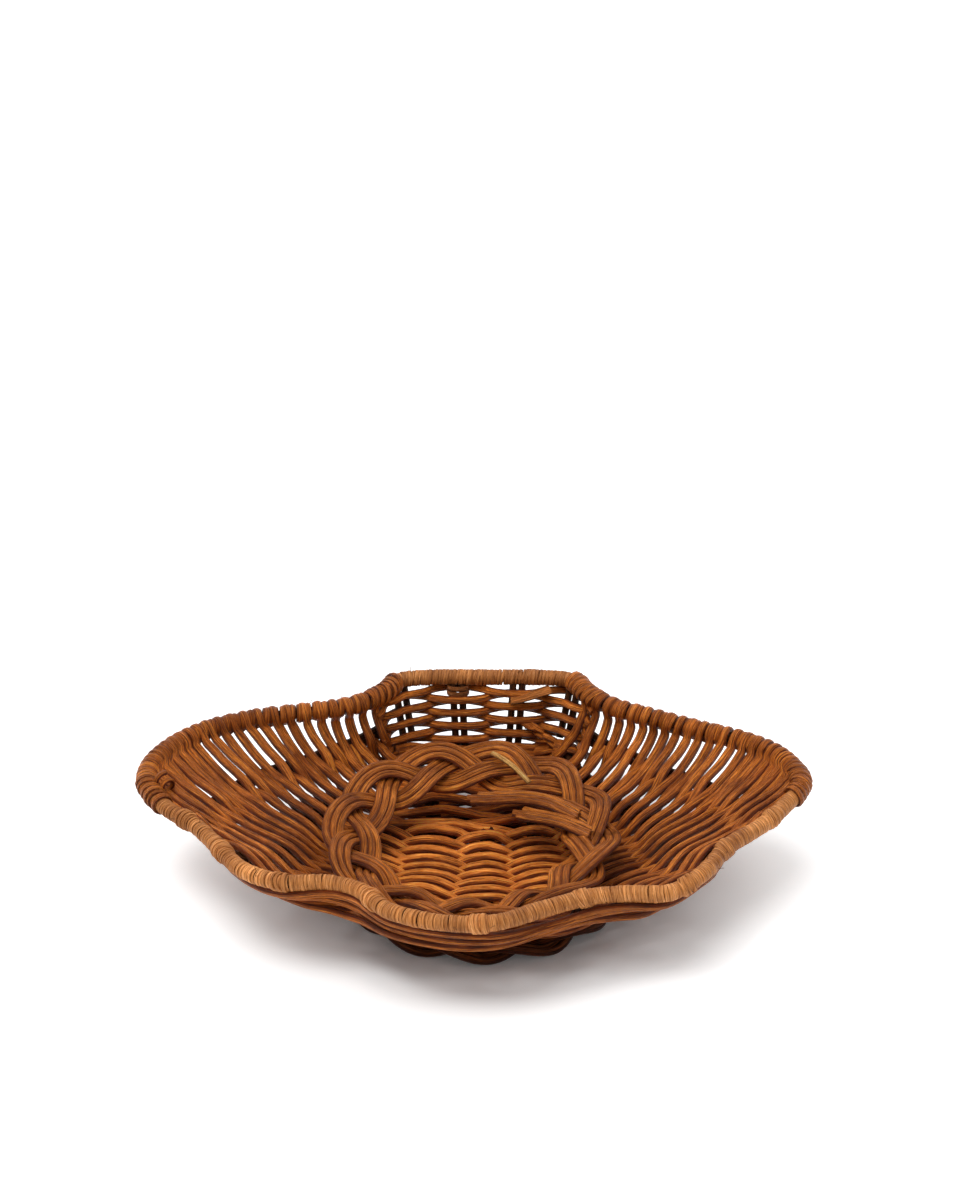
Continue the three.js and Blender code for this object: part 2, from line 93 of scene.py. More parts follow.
# The fan on a disc of radius 1: directions of its outer rows' ends, places of their middles,
# how the rows hang, ribs on each side of the middle one, and where the bowl's back begins
NOTCH = radians(109.5)
CORNER = radians(168)
LOBE = radians(19.6)
FAN_TOP = 0.74
FAN_BOTTOM = -0.8
FALL = 0.42
BOW = 0.025
FAN_ROWS = 25
PAIRED_ROWS = 18
COUPLE_GAP = 0.33
FAN_RIBS = 4
EVERY_RIB = range(-FAN_RIBS, FAN_RIBS + 1)
RIB_STEPS = 60
BACK_SHARE = 0.28

# The panel under the back bar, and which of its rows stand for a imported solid
HINGE_X = 6.9
STAKE_PITCH = 33.4
STAKES = 4
BACK_TOP = 58.4
BACK_PITCH = 3.4
BACK_ROWS = 9
LOW_BACK_ROWS = 8
BACK_NODES = {0: 1, 2: 2, 3: 3, 4: 4, 6: 5, 7: 6}

# The plaits: each cane of a strand as (beside, above), the first in cane radii
PLAITS = {
    "ring": {
        "radius": 62.4, "sway": 10.4, "lift": 3.2, "turns": 4, "flare": radians(18),
        "lean": tan(radians(6.8)), "centre": Vector((-2, -14.6, 0)), "height": 38.6,
        "canes": ((-1.86, 0.0), (0.0, 0.4), (1.86, 0.0)), "flat": 0.96, "steps": 180, "sides": 14,
        "tone": 0.35, "tone_step": 0.18, "seed": 12, "seed_step": 0.3,
    },
    "foot": {
        "radius": 62.5, "sway": 7.2, "lift": 3.0, "turns": 4, "flare": 0.0,
        "lean": 0.0, "centre": Vector((4, -6, 0)), "height": 5.0,
        "canes": ((-1.0, 0.0), (1.0, 0.0)), "flat": 0.92, "steps": 150, "sides": 10,
        "tone": 0.4, "tone_step": 0.2, "seed": 17, "seed_step": 0.4,
    },
}

# Each finish: the colour that it starts from, and how its cane differs from plain cane
PLAIN = (1.0, 1.0, 1.0)
# crevice_shade sets how strongly the painted shade darkens the flanks of each cane
FINISHES = {
    "weaving": ("weaving", {"gloss": 0.32, "shine": 0.28}),
    "rib": ("ribs", {"gloss": 0.5, "shine": 0.2}),
    "binding": (
        "binding", {"across": 1.2, "contrast": 0.35, "gloss": 0.5, "bump": 0.2, "crevice_shade": 0.35},
    ),
    "plait": ("plait", {"gloss": 0.34, "shine": 0.32}),
    "foot": ("foot", {"gloss": 0.5, "shine": 0.2}),
    "fresh": ("fresh", {"contrast": 0.6, "shine": 0.2}),
    "fresh_stain": ("torn", {"contrast": 0.7, "crevice_shade": 0.5}),
}


# ---- properties
def length(name, description, default):
    return bpy.props.FloatProperty(
        name=name, description=description, default=default, min=0.0,
        subtype="DISTANCE", unit="LENGTH", precision=4,
    )


def colour(name, description, default):
    return bpy.props.FloatVectorProperty(
        name=name, description=description, default=default, size=3,
        min=0.0, max=1.0, subtype="COLOR",
    )


def srgb(red, green, blue):
    """A colour written as 0 to 255 screen values, as Blender's linear colour."""
    linear = []
    for value in (red, green, blue):
        value /= 255.0
        linear.append(value / 12.92 if value <= 0.04045 else ((value + 0.055) / 1.055) ** 2.4)
    return tuple(linear)


class RattanSizes(bpy.types.PropertyGroup):
    width: length("Width", "Overall width of the dish", BOX_HIGH.x - BOX_LOW.x)
    depth: length("Depth", "Overall depth, front scallop to back bar", BOX_HIGH.y - BOX_LOW.y)
    height: length("Height", "Height of the back bar above the table", BOX_HIGH.z - BOX_LOW.z)
    cane_width: length("Cane width", "Width of a weaving cane", 0.0047)
    cane_thickness: length("Cane thickness", "Thickness of a weaving cane", 0.0039)
    rib_cane: length("Rib cane", "Diameter of each cane of a rib", 0.0040)
    binding_pitch: length("Binding pitch", "Step of the fine cane round the front rim", 0.0019)
    wrap_pitch: length("Wrap pitch", "Step of the canes wrapped round the side rims", 0.0045)
    plait_cane: length("Plait cane", "Diameter of each cane of the ring", 0.0041)
    foot_cane: length("Foot cane", "Diameter of each cane of the foot", 0.0040)


class RattanColours(bpy.types.PropertyGroup):
    weaving: colour("Weaving cane", "Stained cane of the fan and the back", srgb(210, 113, 41))
    ribs: colour("Rib cane", "Darker cane of the ribs and stakes", srgb(84, 46, 20))
    binding: colour("Binding cane", "Fine cane round the rim", srgb(196, 126, 66))
    plait: colour("Plait cane", "Cane of the ring inside", srgb(208, 114, 42))
    foot: colour("Foot cane", "Cane of the foot", srgb(120, 60, 24))
    fresh: colour("Bare cane", "Cane where the stain has rubbed off", srgb(222, 158, 84))
    torn: colour("Torn strip", "Flat strips and fibres with thin stain", srgb(176, 102, 46))
    table: colour("Table", "Surface that the dish stands on", srgb(252, 252, 252))


# ---- rim curve
def clamp(value):
    return min(1.0, max(0.0, value))


def span_at(edges, value):
    """Which span between rising edges holds a value, and how far along the span it lies."""
    low = min(max(bisect_left(edges, value) - 1, 0), len(edges) - 2)
    return low, (value - edges[low]) / max(edges[low + 1] - edges[low], 1e-9)


def disc_place(point):
    """A point as seen from the dish's middle, where the rim is about 1 away."""
    return (point.x - CENTRE.x) / HALF_WIDTH, (point.y - CENTRE.y) / HALF_DEPTH


def smooth_curve(points, at):
    """Point at a share of a closed curve through the given points."""
    count = len(points)
    place = (at % 1.0) * count
    first = int(place)
    rest = place - first
    p0, p1, p2, p3 = (Vector(points[(first + step) % count]) for step in (-1, 0, 1, 2))
    d0 = (p1 - p0).length ** 0.5
    d1 = (p2 - p1).length ** 0.5
    d2 = (p3 - p2).length ** 0.5
    t1 = ((p1 - p0) / d0 - (p2 - p0) / (d0 + d1) + (p2 - p1) / d1) * d1
    t2 = ((p2 - p1) / d1 - (p3 - p1) / (d1 + d2) + (p3 - p2) / d2) * d1
    c2 = (p2 - p1) * 3 - t1 * 2 - t2
    c3 = (p1 - p2) * 2 + t1 + t2
    return p1 + t1 * rest + c2 * rest ** 2 + c3 * rest ** 3


class Rim:
    """The rim's centre line, and what it looks like from the dish's middle."""

    steps = 1560
    turns = 1440

    def __init__(self):
        self.points = [smooth_curve(RIM_POINTS, i / self.steps) for i in range(self.steps + 1)]
        self.lengths = [0.0]
        for a, b in zip(self.points, self.points[1:]):
            self.lengths.append(self.lengths[-1] + (b - a).length)
        self.reach, self.height = self.seen_from_centre()
        shift = round(LOBE / tau * self.turns)
        self.calm = [
            (2 * self.reach[i] + self.reach[i - shift] + self.reach[(i + shift) % self.turns]) / 4
            for i in range(self.turns)
        ]

    def seen_from_centre(self):
        seen = []
        for point in self.points[:-1]:
            u, v = disc_place(point)
            seen.append((atan2(v, u) % tau, hypot(u, v), point.z))
        seen.sort()
        seen = [(seen[-1][0] - tau,) + seen[-1][1:]] + seen
        seen.append((seen[1][0] + tau,) + seen[1][1:])
        angles = [angle for angle, _, _ in seen]
        reach, height = [], []
        for i in range(self.turns):
            low, part = span_at(angles, tau * i / self.turns)
            a, b = seen[low], seen[low + 1]
            reach.append(a[1] + (b[1] - a[1]) * part)
            height.append(a[2] + (b[2] - a[2]) * part)
        return reach, height

    def look(self, table, angle):
        """Value of a table of directions at an angle."""
        place = (angle % tau) / tau * self.turns
        low = int(place) % self.turns
        part = place - int(place)
        return table[low] * (1 - part) + table[(low + 1) % self.turns] * part

    def length_at(self, share):
        """Distance along the rim of a share of its points."""
        place = (share % 1.0) * self.steps if share != 1.0 else self.steps
        low = min(int(place), self.steps - 1)
        return self.lengths[low] + (self.lengths[low + 1] - self.lengths[low]) * (place - low)

    def at_length(self, distance):
        """Point and direction at a distance along the rim from the right corner."""
        distance %= self.lengths[-1]
        low = bisect_right(self.lengths, distance) - 1
        step = self.lengths[low + 1] - self.lengths[low]
        part = (distance - self.lengths[low]) / step
        a, b = self.points[low], self.points[low + 1]
        before = self.points[low - 4 if low >= 4 else low - 5]
        after = self.points[(low + 5) % self.steps]
        return a.lerp(b, part), (after - before).normalized()

    def nearest_length(self, point):
        best = min(range(self.steps), key=lambda i: (self.points[i] - point).length_squared)
        return self.lengths[best]


RIM = Rim()


def dish(u, v):
    """Middle surface of the weave: a disc of radius 1 whose edge is the rim."""
    angle = atan2(v, u)
    part = min(hypot(u, v), 1.0)
    to_side, to_back = cos(angle), sin(angle)
    steep = max(0.0, to_back) ** 3
    reach, calm = RIM.look(RIM.reach, angle), RIM.look(RIM.calm, angle)
    reach = calm + (reach - calm) * part ** 7
    spread = part + steep * part * part * (1 - part)
    x = to_side * reach * spread * HALF_WIDTH
    y = to_back * reach * spread * HALF_DEPTH
    edge = reach * hypot(to_side * HALF_WIDTH, to_back * HALF_DEPTH)
    front = max(0.0, -to_back) ** 2
    climb = max(0.0, (hypot(x, y) - FLOOR_R) / (edge - FLOOR_R))
    rise = climb ** (1.08 + 1.4 * front + 3.7 * steep ** 2)
    z = FLOOR_Z + (RIM.look(RIM.height, angle) - FLOOR_Z) * rise
    return Vector((x + CENTRE.x, y + CENTRE.y, z))


def dish_normal(u, v):
    d = 0.01
    along = dish(u + d, v) - dish(u - d, v)
    across = dish(u, v + d) - dish(u, v - d)
    return along.cross(across).normalized()


def bezier(a, b, c, d, t):
    r = 1 - t
    return a * r ** 3 + b * (3 * r * r * t) + c * (3 * r * t * t) + d * t ** 3


def fan(s, t):
    """Place on the disc of a share t along the row at a share s down the fan."""
    end = NOTCH + (CORNER - NOTCH) * (1.3 * s - 0.3 * s * s)
    end_u, end_v = cos(end), sin(end)
    low = FAN_TOP + (FAN_BOTTOM - FAN_TOP) * (1.12 * s - 0.12 * s * s)
    part = 1 - abs(t)
    steep_u = bezier(-end_u, -end_u * (1 - FALL), -end_u * 0.5, 0.0, part)
    steep_v = bezier(end_v, end_v * (1 - FALL), low, low, part)
    middle = (1 - low * low) / (2 * (end_v - low))
    radius = middle - low
    sweep = atan2(-end_u, -(end_v - middle))
    round_u = sin(sweep * abs(t)) * radius
    round_v = middle - cos(sweep * t) * radius
    mix = s ** 0.8
    side = copysign(1.0, t) if t else 0.0
    bow = BOW * 4 * s * (1 - s) * part
    return side * (steep_u + (round_u - steep_u) * mix) + bow, steep_v + (round_v - steep_v) * mix


def rib_share(k, s):
    """Share of the rows' sweep at which a rib crosses them: wider behind the ring."""
    count = abs(k)
    share = (count / (FAN_RIBS + 1)) ** (1.25 - 0.25 * s)
    wide = min((count + 0.45) / (FAN_RIBS + 1.3), 1.0) * min(1.0, count)
    back = max(0.0, 1 - s / (1.5 * BACK_SHARE)) ** 2
    return copysign(share + (max(wide, share) - share) * back, k)


def ribs_at(s):
    return [k for k in EVERY_RIB if s > BACK_SHARE or abs(k) not in (0, 2)]


# ---- cane maker
def new_piece():
    piece = bmesh.new()
    piece.verts.layers.float_vector.new("grain")
    piece.verts.layers.float.new("tone")
    piece.verts.layers.float.new("shade")
    return piece


def layers(piece):
    """What each point of a piece carries for its material: grain, tone (with painted floor light)
    and painted shade.
    """
    kinds = piece.verts.layers
    return kinds.float_vector["grain"], kinds.float["tone"], kinds.float["shade"]


def placing(axes, sizes, place):
    """The transform that gives a shape these axes, at these sizes in metres, and this place."""
    rows = [(*(axis[k] * size for axis, size in zip(axes, sizes)), place[k]) for k in range(3)]
    return Matrix((*rows, (0, 0, 0, 1)))


def mesh_of(piece, name):
    """A piece, once it is built, as a mesh."""
    mesh = bpy.data.meshes.new(name)
    piece.to_mesh(mesh)
    piece.free()
    return mesh


def add_object(name, data):
    """A mesh, lamp or camera as an object of the scene."""
    obj = bpy.data.objects.new(name, data)
    bpy.context.scene.collection.objects.link(obj)
    return obj


def lay_cane(piece, path, tone, seed, sides=12, closed=False, wear=0.0):
    """Bends a straight rod along a path of (point, up, half width, half thickness, painted shade).
    Painted floor light makes it lighter towards the middle of the dish's floor."""
    rough, painted_floor_light_fade, brightest = 0.03, 14, 0.98
    cane = new_piece()
    grain, tones, shades = layers(cane)
    dice = random.Random(int(seed * 1000) + 7)
    uneven = [1 + dice.uniform(-rough, rough) for _ in range(sides)]
    if closed:
        path = path + [path[0]]
    count = len(path)
    bmesh.ops.create_cone(
        cane, cap_ends=not closed, segments=sides, radius1=1.0, radius2=1.0, depth=1.0,
    )
    uprights = [edge for edge in cane.edges if abs(edge.verts[0].co.z - edge.verts[1].co.z) > 0.5]
    bmesh.ops.subdivide_edges(cane, edges=uprights, cuts=count - 2, use_grid_fill=True)
    frames, runs = [], [seed]
    for i, (point, up, half_width, half_thick, _) in enumerate(path):
        if closed:
            ahead, behind = path[(i + 1) % (count - 1)][0], path[(i - 1) % (count - 1)][0]
        else:
            ahead, behind = path[min(i + 1, count - 1)][0], path[max(i - 1, 0)][0]
        forward = (ahead - behind).normalized()
        side = up.cross(forward).normalized()
        axes, sizes = (side, forward.cross(side), forward), (half_width * MM, half_thick * MM, MM)
        frames.append(placing(axes, sizes, (point - ORIGIN) * MM))
        if i:
            runs.append(runs[-1] + (point - path[i - 1][0]).length * MM)
    for vert in cane.verts:
        x, y = vert.co.x, vert.co.y
        ring = round((vert.co.z + 0.5) * (count - 1))
        corner = round(atan2(y, x) / tau * sides) % sides
        vert[grain] = (x, y, runs[ring])
        out = hypot(path[ring][0].x - CENTRE.x, path[ring][0].y - CENTRE.y)
        # painted light: canes on the dish's floor are made lighter towards its middle
        vert[tones] = min(tone + wear * clamp((FLOOR_R - out) / painted_floor_light_fade), brightest)
        vert[shades] = path[ring][4]
        vert.co = frames[ring] @ Vector((x * uneven[corner], y * uneven[corner], 0))
    if closed:
        bmesh.ops.remove_doubles(cane, verts=cane.verts[:], dist=1e-6)
    loose = mesh_of(cane, "cane")
    piece.from_mesh(loose)
    bpy.data.meshes.remove(loose)


def finish_piece(piece, name, finish, slot, *nodes):
    """Gives a piece the dish's size and its material, and puts it in the shared frame."""
    sizes = bpy.context.scene.rattan_sizes
    wanted = Vector((sizes.width, sizes.depth, sizes.height)) / MM
    bmesh.ops.scale(piece, vec=[a / b for a, b in zip(wanted, DRAWN_BOX)], verts=piece.verts)
    bmesh.ops.recalc_face_normals(piece, faces=piece.faces)
    for face in piece.faces:
        face.smooth = len(face.verts) == 4
    mesh = mesh_of(piece, name)
    mesh.materials.append(stock(finish))
    obj = add_object(name, mesh)
    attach(obj, "root")
    if nodes:
        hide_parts(*nodes)


def even_steps(path, step):
    """The same path with its points an even step apart, in millimetres."""
    runs = [0.0]
    for a, b in zip(path, path[1:]):
        runs.append(runs[-1] + (b[0] - a[0]).length)
    count = max(2, round(runs[-1] / step))
    even = []
    for i in range(count + 1):
        low, part = span_at(runs, runs[-1] * i / count)
        a, b = path[low], path[low + 1]
        even.append((
            a[0].lerp(b[0], part), a[1].lerp(b[1], part).normalized(),
            *(a[k] + (b[k] - a[k]) * part for k in range(2, len(a))),
        ))
    return even


def side_at(path, i):
    """Direction across a path at one of its points."""
    before, after = path[max(i - 1, 0)][0], path[min(i + 1, len(path) - 1)][0]
    return path[i][1].cross(after - before).normalized()


def wavering(path, step, seed, amount):
    """A path in even steps that sways a little from side to side, as a real cane lies."""
    path = even_steps(path, step)
    dice = random.Random(seed)
    waves = [
        (dice.uniform(0.03, 0.11), dice.uniform(0, 6.28), dice.uniform(0.4, 1)) for _ in range(3)
    ]
    moved = []
    distance = 0.0
    for i, (point, *rest) in enumerate(path):
        if i:
            distance += (point - path[i - 1][0]).length
        sway = sum(sin(distance * rate + phase) * size for rate, phase, size in waves) / 3
        moved.append((point + side_at(path, i) * sway * amount, *rest))
    return moved


# ---- materials
def wire(tree, made, inputs):
    """Sets the inputs of a node, or links those whose value is a socket."""
    for key, value in inputs.items():
        if isinstance(value, bpy.types.NodeSocket):
            tree.links.new(value, made.inputs[key])
        else:
            made.inputs[key].default_value = value
    return made


def node(tree, kind, *values, **named):
    """A new shader node with its inputs wired. Names in small letters are its own settings."""
    made = tree.nodes.new(kind)
    inputs = dict(enumerate(values))
    for key, value in named.items():
        if key.islower():
            setattr(made, key, value)
        else:
            inputs[key.replace("_", " ")] = value
    return wire(tree, made, inputs)


def ramp(tree, factor, stops):
    """The colour at a factor, between stops of (place, colour)."""
    made = node(tree, "ShaderNodeValToRGB", factor)
    elements = made.color_ramp.elements
    while len(elements) < len(stops):
        elements.new(0.5)
    for element, (place, value) in zip(elements, stops):
        element.position = place
        element.color = (*value, 1.0)
    return made.outputs["Color"]


def streaks(tree, grain, across, along, roughness):
    """Noise that is drawn out along the cane."""
    stretch = node(tree, "ShaderNodeMapping", Vector=grain, Scale=(across, across, along))
    return node(
        tree, "ShaderNodeTexNoise", Vector=stretch.outputs["Vector"],
        Scale=1.6, Detail=3.0, Roughness=roughness,
    ).outputs["Fac"]


def cane_material(
    name, base, across=2.3, contrast=1.0, gloss=0.36, bump=1.0, shine=0.3, crevice_shade=1.0,
):
    """Stained split cane: long streaks that follow each cane, with painted shade in its low places
    and on its flanks, and painted glints.
    """
    material = bpy.data.materials.new(name)
    material.use_nodes = True
    tree = material.node_tree
    grain, tone, shade = (
        node(tree, "ShaderNodeAttribute", attribute_name=key) for key in ("grain", "tone", "shade")
    )
    grain = grain.outputs["Vector"]
    place = node(tree, "ShaderNodeTexCoord").outputs["Object"]
    fibre = streaks(tree, grain, across, 32.0, 0.6)
    fine = streaks(tree, grain, across * 2.1, 75.0, 0.65)
    patches = node(
        tree, "ShaderNodeTexNoise", Vector=place, Scale=42.0, Detail=4.0, Roughness=0.6,
    ).outputs["Fac"]
    # mask for the painted shade on each cane's flanks, where it meets its neighbours
    flank = node(tree, "ShaderNodeSeparateXYZ", grain).outputs["X"]
    flank = node(tree, "ShaderNodeMath", flank, operation="ABSOLUTE").outputs["Value"]

    dark = tuple(value * (1 - 0.6 * contrast) for value in base)
    light = tuple(min(1.0, value * (1 + 0.9 * contrast)) for value in base)
    body = ramp(tree, fibre, ((0.36, dark), (0.46, base), (0.54, base), (0.64, light)))
    # fine dark splits of the grain, and painted glints where the lines turn pale
    splits_and_painted_glints = ((0.38, (0.32, 0.24, 0.18)), (0.45, PLAIN), (0.55, PLAIN), (0.64, (1.7, 2.1, 3.0)))
    uneven_stain = ((0.34, (0.55, 0.45, 0.36)), (0.50, PLAIN), (0.72, (1.25, 1.2, 1.08)))
    # tone: random differences between canes, raised towards 1 by the painted floor light
    random_tone_and_painted_floor_light = (
        (0.0, (0.66, 0.60, 0.54)), (0.5, (0.98, 0.97, 0.95)), (0.75, (1.24, 1.3, 1.4)),
        (1.0, (2.0, 2.3, 2.8)),
    )
    # painted shade: points low in the weave, under the crossing canes, are darkened
    painted_low_shade = ((0.0, (0.66, 0.52, 0.4)), (0.42, PLAIN))
    # painted shade: the flanks of each cane, between it and its neighbours, are darkened
    painted_flank_shade = ((0.62, PLAIN), (0.96, (0.3, 0.17, 0.09)))
    for share, factor, stops in (
        (0.9, fine, splits_and_painted_glints), (0.75, patches, uneven_stain),
        (1.0, tone.outputs["Fac"], random_tone_and_painted_floor_light), (1.0, shade.outputs["Fac"], painted_low_shade),
        (crevice_shade, flank, painted_flank_shade),
    ):
        tint = node(tree, "ShaderNodeMix", share, data_type="RGBA", blend_type="MULTIPLY")
        body = wire(tree, tint, {6: body, 7: ramp(tree, factor, stops)}).outputs[2]

    rough = node(tree, "ShaderNodeMapRange", fibre, 0.3, 0.7, gloss + 0.18, gloss - 0.12)
    height = node(tree, "ShaderNodeMath", fine, 0.6, fibre, operation="MULTIPLY_ADD")
    relief = node(
        tree, "ShaderNodeBump", Strength=bump, Distance=0.0026, Height=height.outputs["Value"],
    )
    wire(tree, tree.nodes["Principled BSDF"], {
        "Base Color": body, "Roughness": rough.outputs["Result"],
        "Normal": relief.outputs["Normal"], "Specular IOR Level": shine,
        "Specular Tint": (1.0, 0.84, 0.7, 1.0),
    })


def stock(finish):
    """The material of one finish, made once."""
    title = f"{finish}_finish"
    if title not in bpy.data.materials:
        start, looks = FINISHES[finish]
        cane_material(title, tuple(getattr(bpy.context.scene.rattan_colours, start)), **looks)
    return bpy.data.materials[title]


# ---- rim frames
def rim_frame(distance):
    """Point, direction along, up the wall and inward normal at a distance along the rim."""
    point, along = RIM.at_length(distance)
    u, v = disc_place(point)
    reach = hypot(u, v)
    u, v = u / reach, v / reach
    wall = point - dish(u * 0.95, v * 0.95)
    wall = (wall - along * wall.dot(along)).normalized()
    inward = along.cross(wall).normalized()
    above_middle = Vector((*CENTRE, 120))
    if inward.dot(above_middle - point) < 0:
        inward = -inward
    return point, along, wall, inward


def winding_ring(ring_r, half_width, half_thick):
    """One turn of binding cane: an oval section spun round the rod."""
    ring = new_piece()
    grain = layers(ring)[0]
    circle = bmesh.ops.create_circle(ring, segments=6, radius=1.0)["verts"]
    for vert in circle:
        vert[grain] = (vert.co.x, vert.co.y, 0.0)
    place = Matrix((
        (0, half_thick, 0, ring_r), (0, 0, 1, 0), (half_width, 0, 0, 0), (0, 0, 0, 1),
    ))
    bmesh.ops.transform(ring, matrix=place, verts=circle)
    edges = list({edge for vert in circle for edge in vert.link_edges})
    bmesh.ops.spin(
        ring, geom=circle + edges, cent=(0, 0, 0), axis=(0, 0, 1), angle=tau,
        steps=14, use_merge=True,
    )
    for vert in ring.verts:
        around = vert[grain]
        vert[grain] = (around[0], around[1], abs(atan2(vert.co.y, vert.co.x)) * ring_r * MM)
    return mesh_of(ring, "winding_ring")


def lay_windings(
    piece, start, finish, pitch, ring_r, half_width, half_thick, seed, tilt, tone=0.5,
):
    """Rounds of cane side by side along the rim, each a copy of one ring."""
    dice = random.Random(seed)
    grain, tones, shades = layers(piece)
    pattern = winding_ring(ring_r, half_width, half_thick)
    count = round((finish - start) / pitch)
    wave = dice.uniform(0, 6.28)
    for i in range(count):
        distance = start + (finish - start) * (i + 0.5) / count
        distance += dice.uniform(-0.08, 0.08) * pitch
        point, along, wall, inward = rim_frame(distance)
        lean = tilt * (1 + dice.uniform(-0.6, 0.6))
        axis = (along + wall * lean + inward * dice.uniform(-0.05, 0.05)).normalized()
        side = axis.cross(inward).normalized()
        size = MM * (1 + dice.uniform(-0.03, 0.035) + 0.02 * sin(i * 0.37 + wave))
        wide = MM * dice.uniform(0.85, 1.3)
        matrix = placing((side.cross(axis), side, axis), (size, size, wide), (point - ORIGIN) * MM)
        shown = tone + dice.uniform(-0.16, 0.16) + 0.13 * sin(i * 0.11 + wave)
        shown += 0.1 * sin(i * 0.043 + 2 * wave)
        offset = dice.uniform(0, 3)
        before = len(piece.verts)
        piece.from_mesh(pattern)
        copy = piece.verts[before:]
        bmesh.ops.transform(piece, matrix=matrix, verts=copy)
        for vert in copy:
            around = vert[grain]
            vert[grain] = (around[0], around[1], around[2] + offset)
            vert[tones] = shown
            vert[shades] = 1.0
    bpy.data.meshes.remove(pattern)


# ---- paths of the canes
def half(size):
    """Half of one of the dish's sizes, in millimetres."""
    return getattr(bpy.context.scene.rattan_sizes, size) / MM / 2


def rim_corners():
    """Distances along the rim to the right notch, the left notch and the left corner."""
    return [RIM.length_at(share) for share in (RIGHT_NOTCH, LEFT_NOTCH, LEFT_CORNER)]


def on_disc(angle, part):
    return cos(angle) * part, sin(angle) * part


def woven_point(u, v, lift):
    """A point of a weaving cane, lifted off the middle of the weave. Low points get painted shade
    and are darker.
    """
    up = dish_normal(u, v)
    point = dish(u, v) + up * lift
    return point, up, half("cane_width"), half("cane_thickness"), 0.5 + 0.5 * lift / SWING


def over_under(number, odd):
    """Lift of a back row at a place counted in stakes: over one pair and under the next."""
    low = number // 1
    bend = cos(pi * (number - low))
    side = SWING if (low + odd) % 2 == 0 else -SWING
    return side * copysign(abs(bend) ** 0.7, bend)


def row_path(row, extra, size):
    """A row of the fan: over one rib and under the next, but always inside the
    outermost pair, which stiffens the side walls. The upper rows lie in couples,
    with an extra cane between the two that narrows to nothing near the side rims."""
    steps = 280
    widest, half_thick = half("cane_width") * size, half("cane_thickness") * size
    s = (row + 0.5 + 0.5 * extra) / FAN_ROWS
    paired = row < PAIRED_ROWS
    order = row // 2 * 3 + row % 2 * 2 + extra if paired else row + PAIRED_ROWS // 2
    ribs = ribs_at(s)
    stops = [-FAN_RIBS - 1, *ribs, FAN_RIBS + 1]
    lifts = [0.0] + [SWING if (i + order) % 2 == 0 else -SWING for i in range(len(ribs))] + [0.0]
    lifts[1] = lifts[-2] = SWING * (0.8 if order % 2 == 0 else 0.25)
    path = []
    for i in range(steps + 1):
        number = stops[0] + (stops[-1] - stops[0]) * i / steps
        inner = clamp((FAN_RIBS + 0.05 - abs(number)) / 0.5) if paired else 0.0
        if inner <= 0 and extra:
            continue
        inner = inner * inner * (3 - 2 * inner)

        at, rest = span_at(stops, number)
        bend = cos(pi * rest)
        loose = s > BACK_SHARE and abs(number) < 2.5
        bend = copysign(abs(bend) ** (0.8 if loose else 1.7), bend)
        lift = (lifts[at] + lifts[at + 1]) / 2 + (lifts[at] - lifts[at + 1]) / 2 * bend
        end = 1.0 if not extra else 0.3 + 0.7 * inner
        lift -= (1 - end) * 3.5

        t = rib_share(number, s)
        aside = s if extra else s + (row % 2 - 0.5) * COUPLE_GAP * inner / FAN_ROWS
        u, v = fan(aside, t)
        point, up, _, _, shade = woven_point(u, v, lift)
        # painted shadow of the ring: the rows behind it are darkened
        if s < BACK_SHARE and abs(number) < 1.6:
            shade *= 0.2  # the dim place behind the ring

        room = (dish(u, v) - dish(*fan(aside + 0.5 / FAN_ROWS, t))).length
        room *= 1.08 - 0.26 * inner
        half_width = min(max(room, widest * 0.8), widest * 1.5)
        apart = clamp((abs(number) - FAN_RIBS + 0.3) / 0.4) * clamp((0.72 - s) / 0.1)
        half_width += (widest * 1.16 - half_width) * apart
        thick = half_thick * (1 + 0.16 * inner)
        path.append((point, up, half_width * end, thick * end, shade))
    return path


def trim_to_rim(path, clear):
    """Leaves out the points of both ends that come too near the rim."""
    ends = [path[0][0].copy(), path[-1][0].copy()]
    while (path[0][0] - ends[0]).length < clear:
        path.pop(0)
    while (path[-1][0] - ends[1]).length < clear:
        path.pop()
    return ends


def join_to_wrap(path, end_point, at_start, half_width, flat, advance):
    """Carries the end of a row up inside the rim rod, over it and round to the inside again."""
    steps, wrap_steps = 8, 20
    inside, outside = radians(-40), radians(262)
    middle, along, wall, inward = rim_frame(RIM.nearest_length(end_point))
    turn = []
    for i in range(wrap_steps + 1):
        phi = inside + (outside - inside) * i / wrap_steps
        out = inward * cos(phi) + wall * sin(phi)
        point = middle + out * (ROD_R + flat + 0.1) + along * advance * (phi - inside) / tau
        turn.append((point, out))
    edge = path[0] if at_start else path[-1]
    inner = path[2] if at_start else path[-3]
    away = (edge[0] - inner[0]).normalized()
    start, out = turn[0]
    heading = (turn[1][0] - turn[0][0]).normalized()
    reach = (start - edge[0]).length
    link = []
    for i in range(1, steps):
        part = i / steps
        point = bezier(
            edge[0], edge[0] + away * reach * 0.4, start - heading * reach * 0.4, start, part,
        )
        sizes = (old + (new - old) * part for old, new in zip(edge[2:], (half_width, flat, 0.75)))
        link.append((point, edge[1].lerp(out, part).normalized(), *sizes))
    link += [(point, out, half_width, flat, 0.8) for point, out in turn]
    return link[::-1] + path if at_start else path + link


def rib_path(places, spread, radius, lift):
    """One cane of a rib or stake, beside the middle line through places on the disc."""
    middle = [woven_point(u, v, lift)[:2] for u, v in places]
    # the last value, 0.35, gives the ribs and stakes a little painted shade
    return [
        (point + side_at(middle, i) * spread, up, radius, radius, 0.35)
        for i, (point, up) in enumerate(middle)
    ]


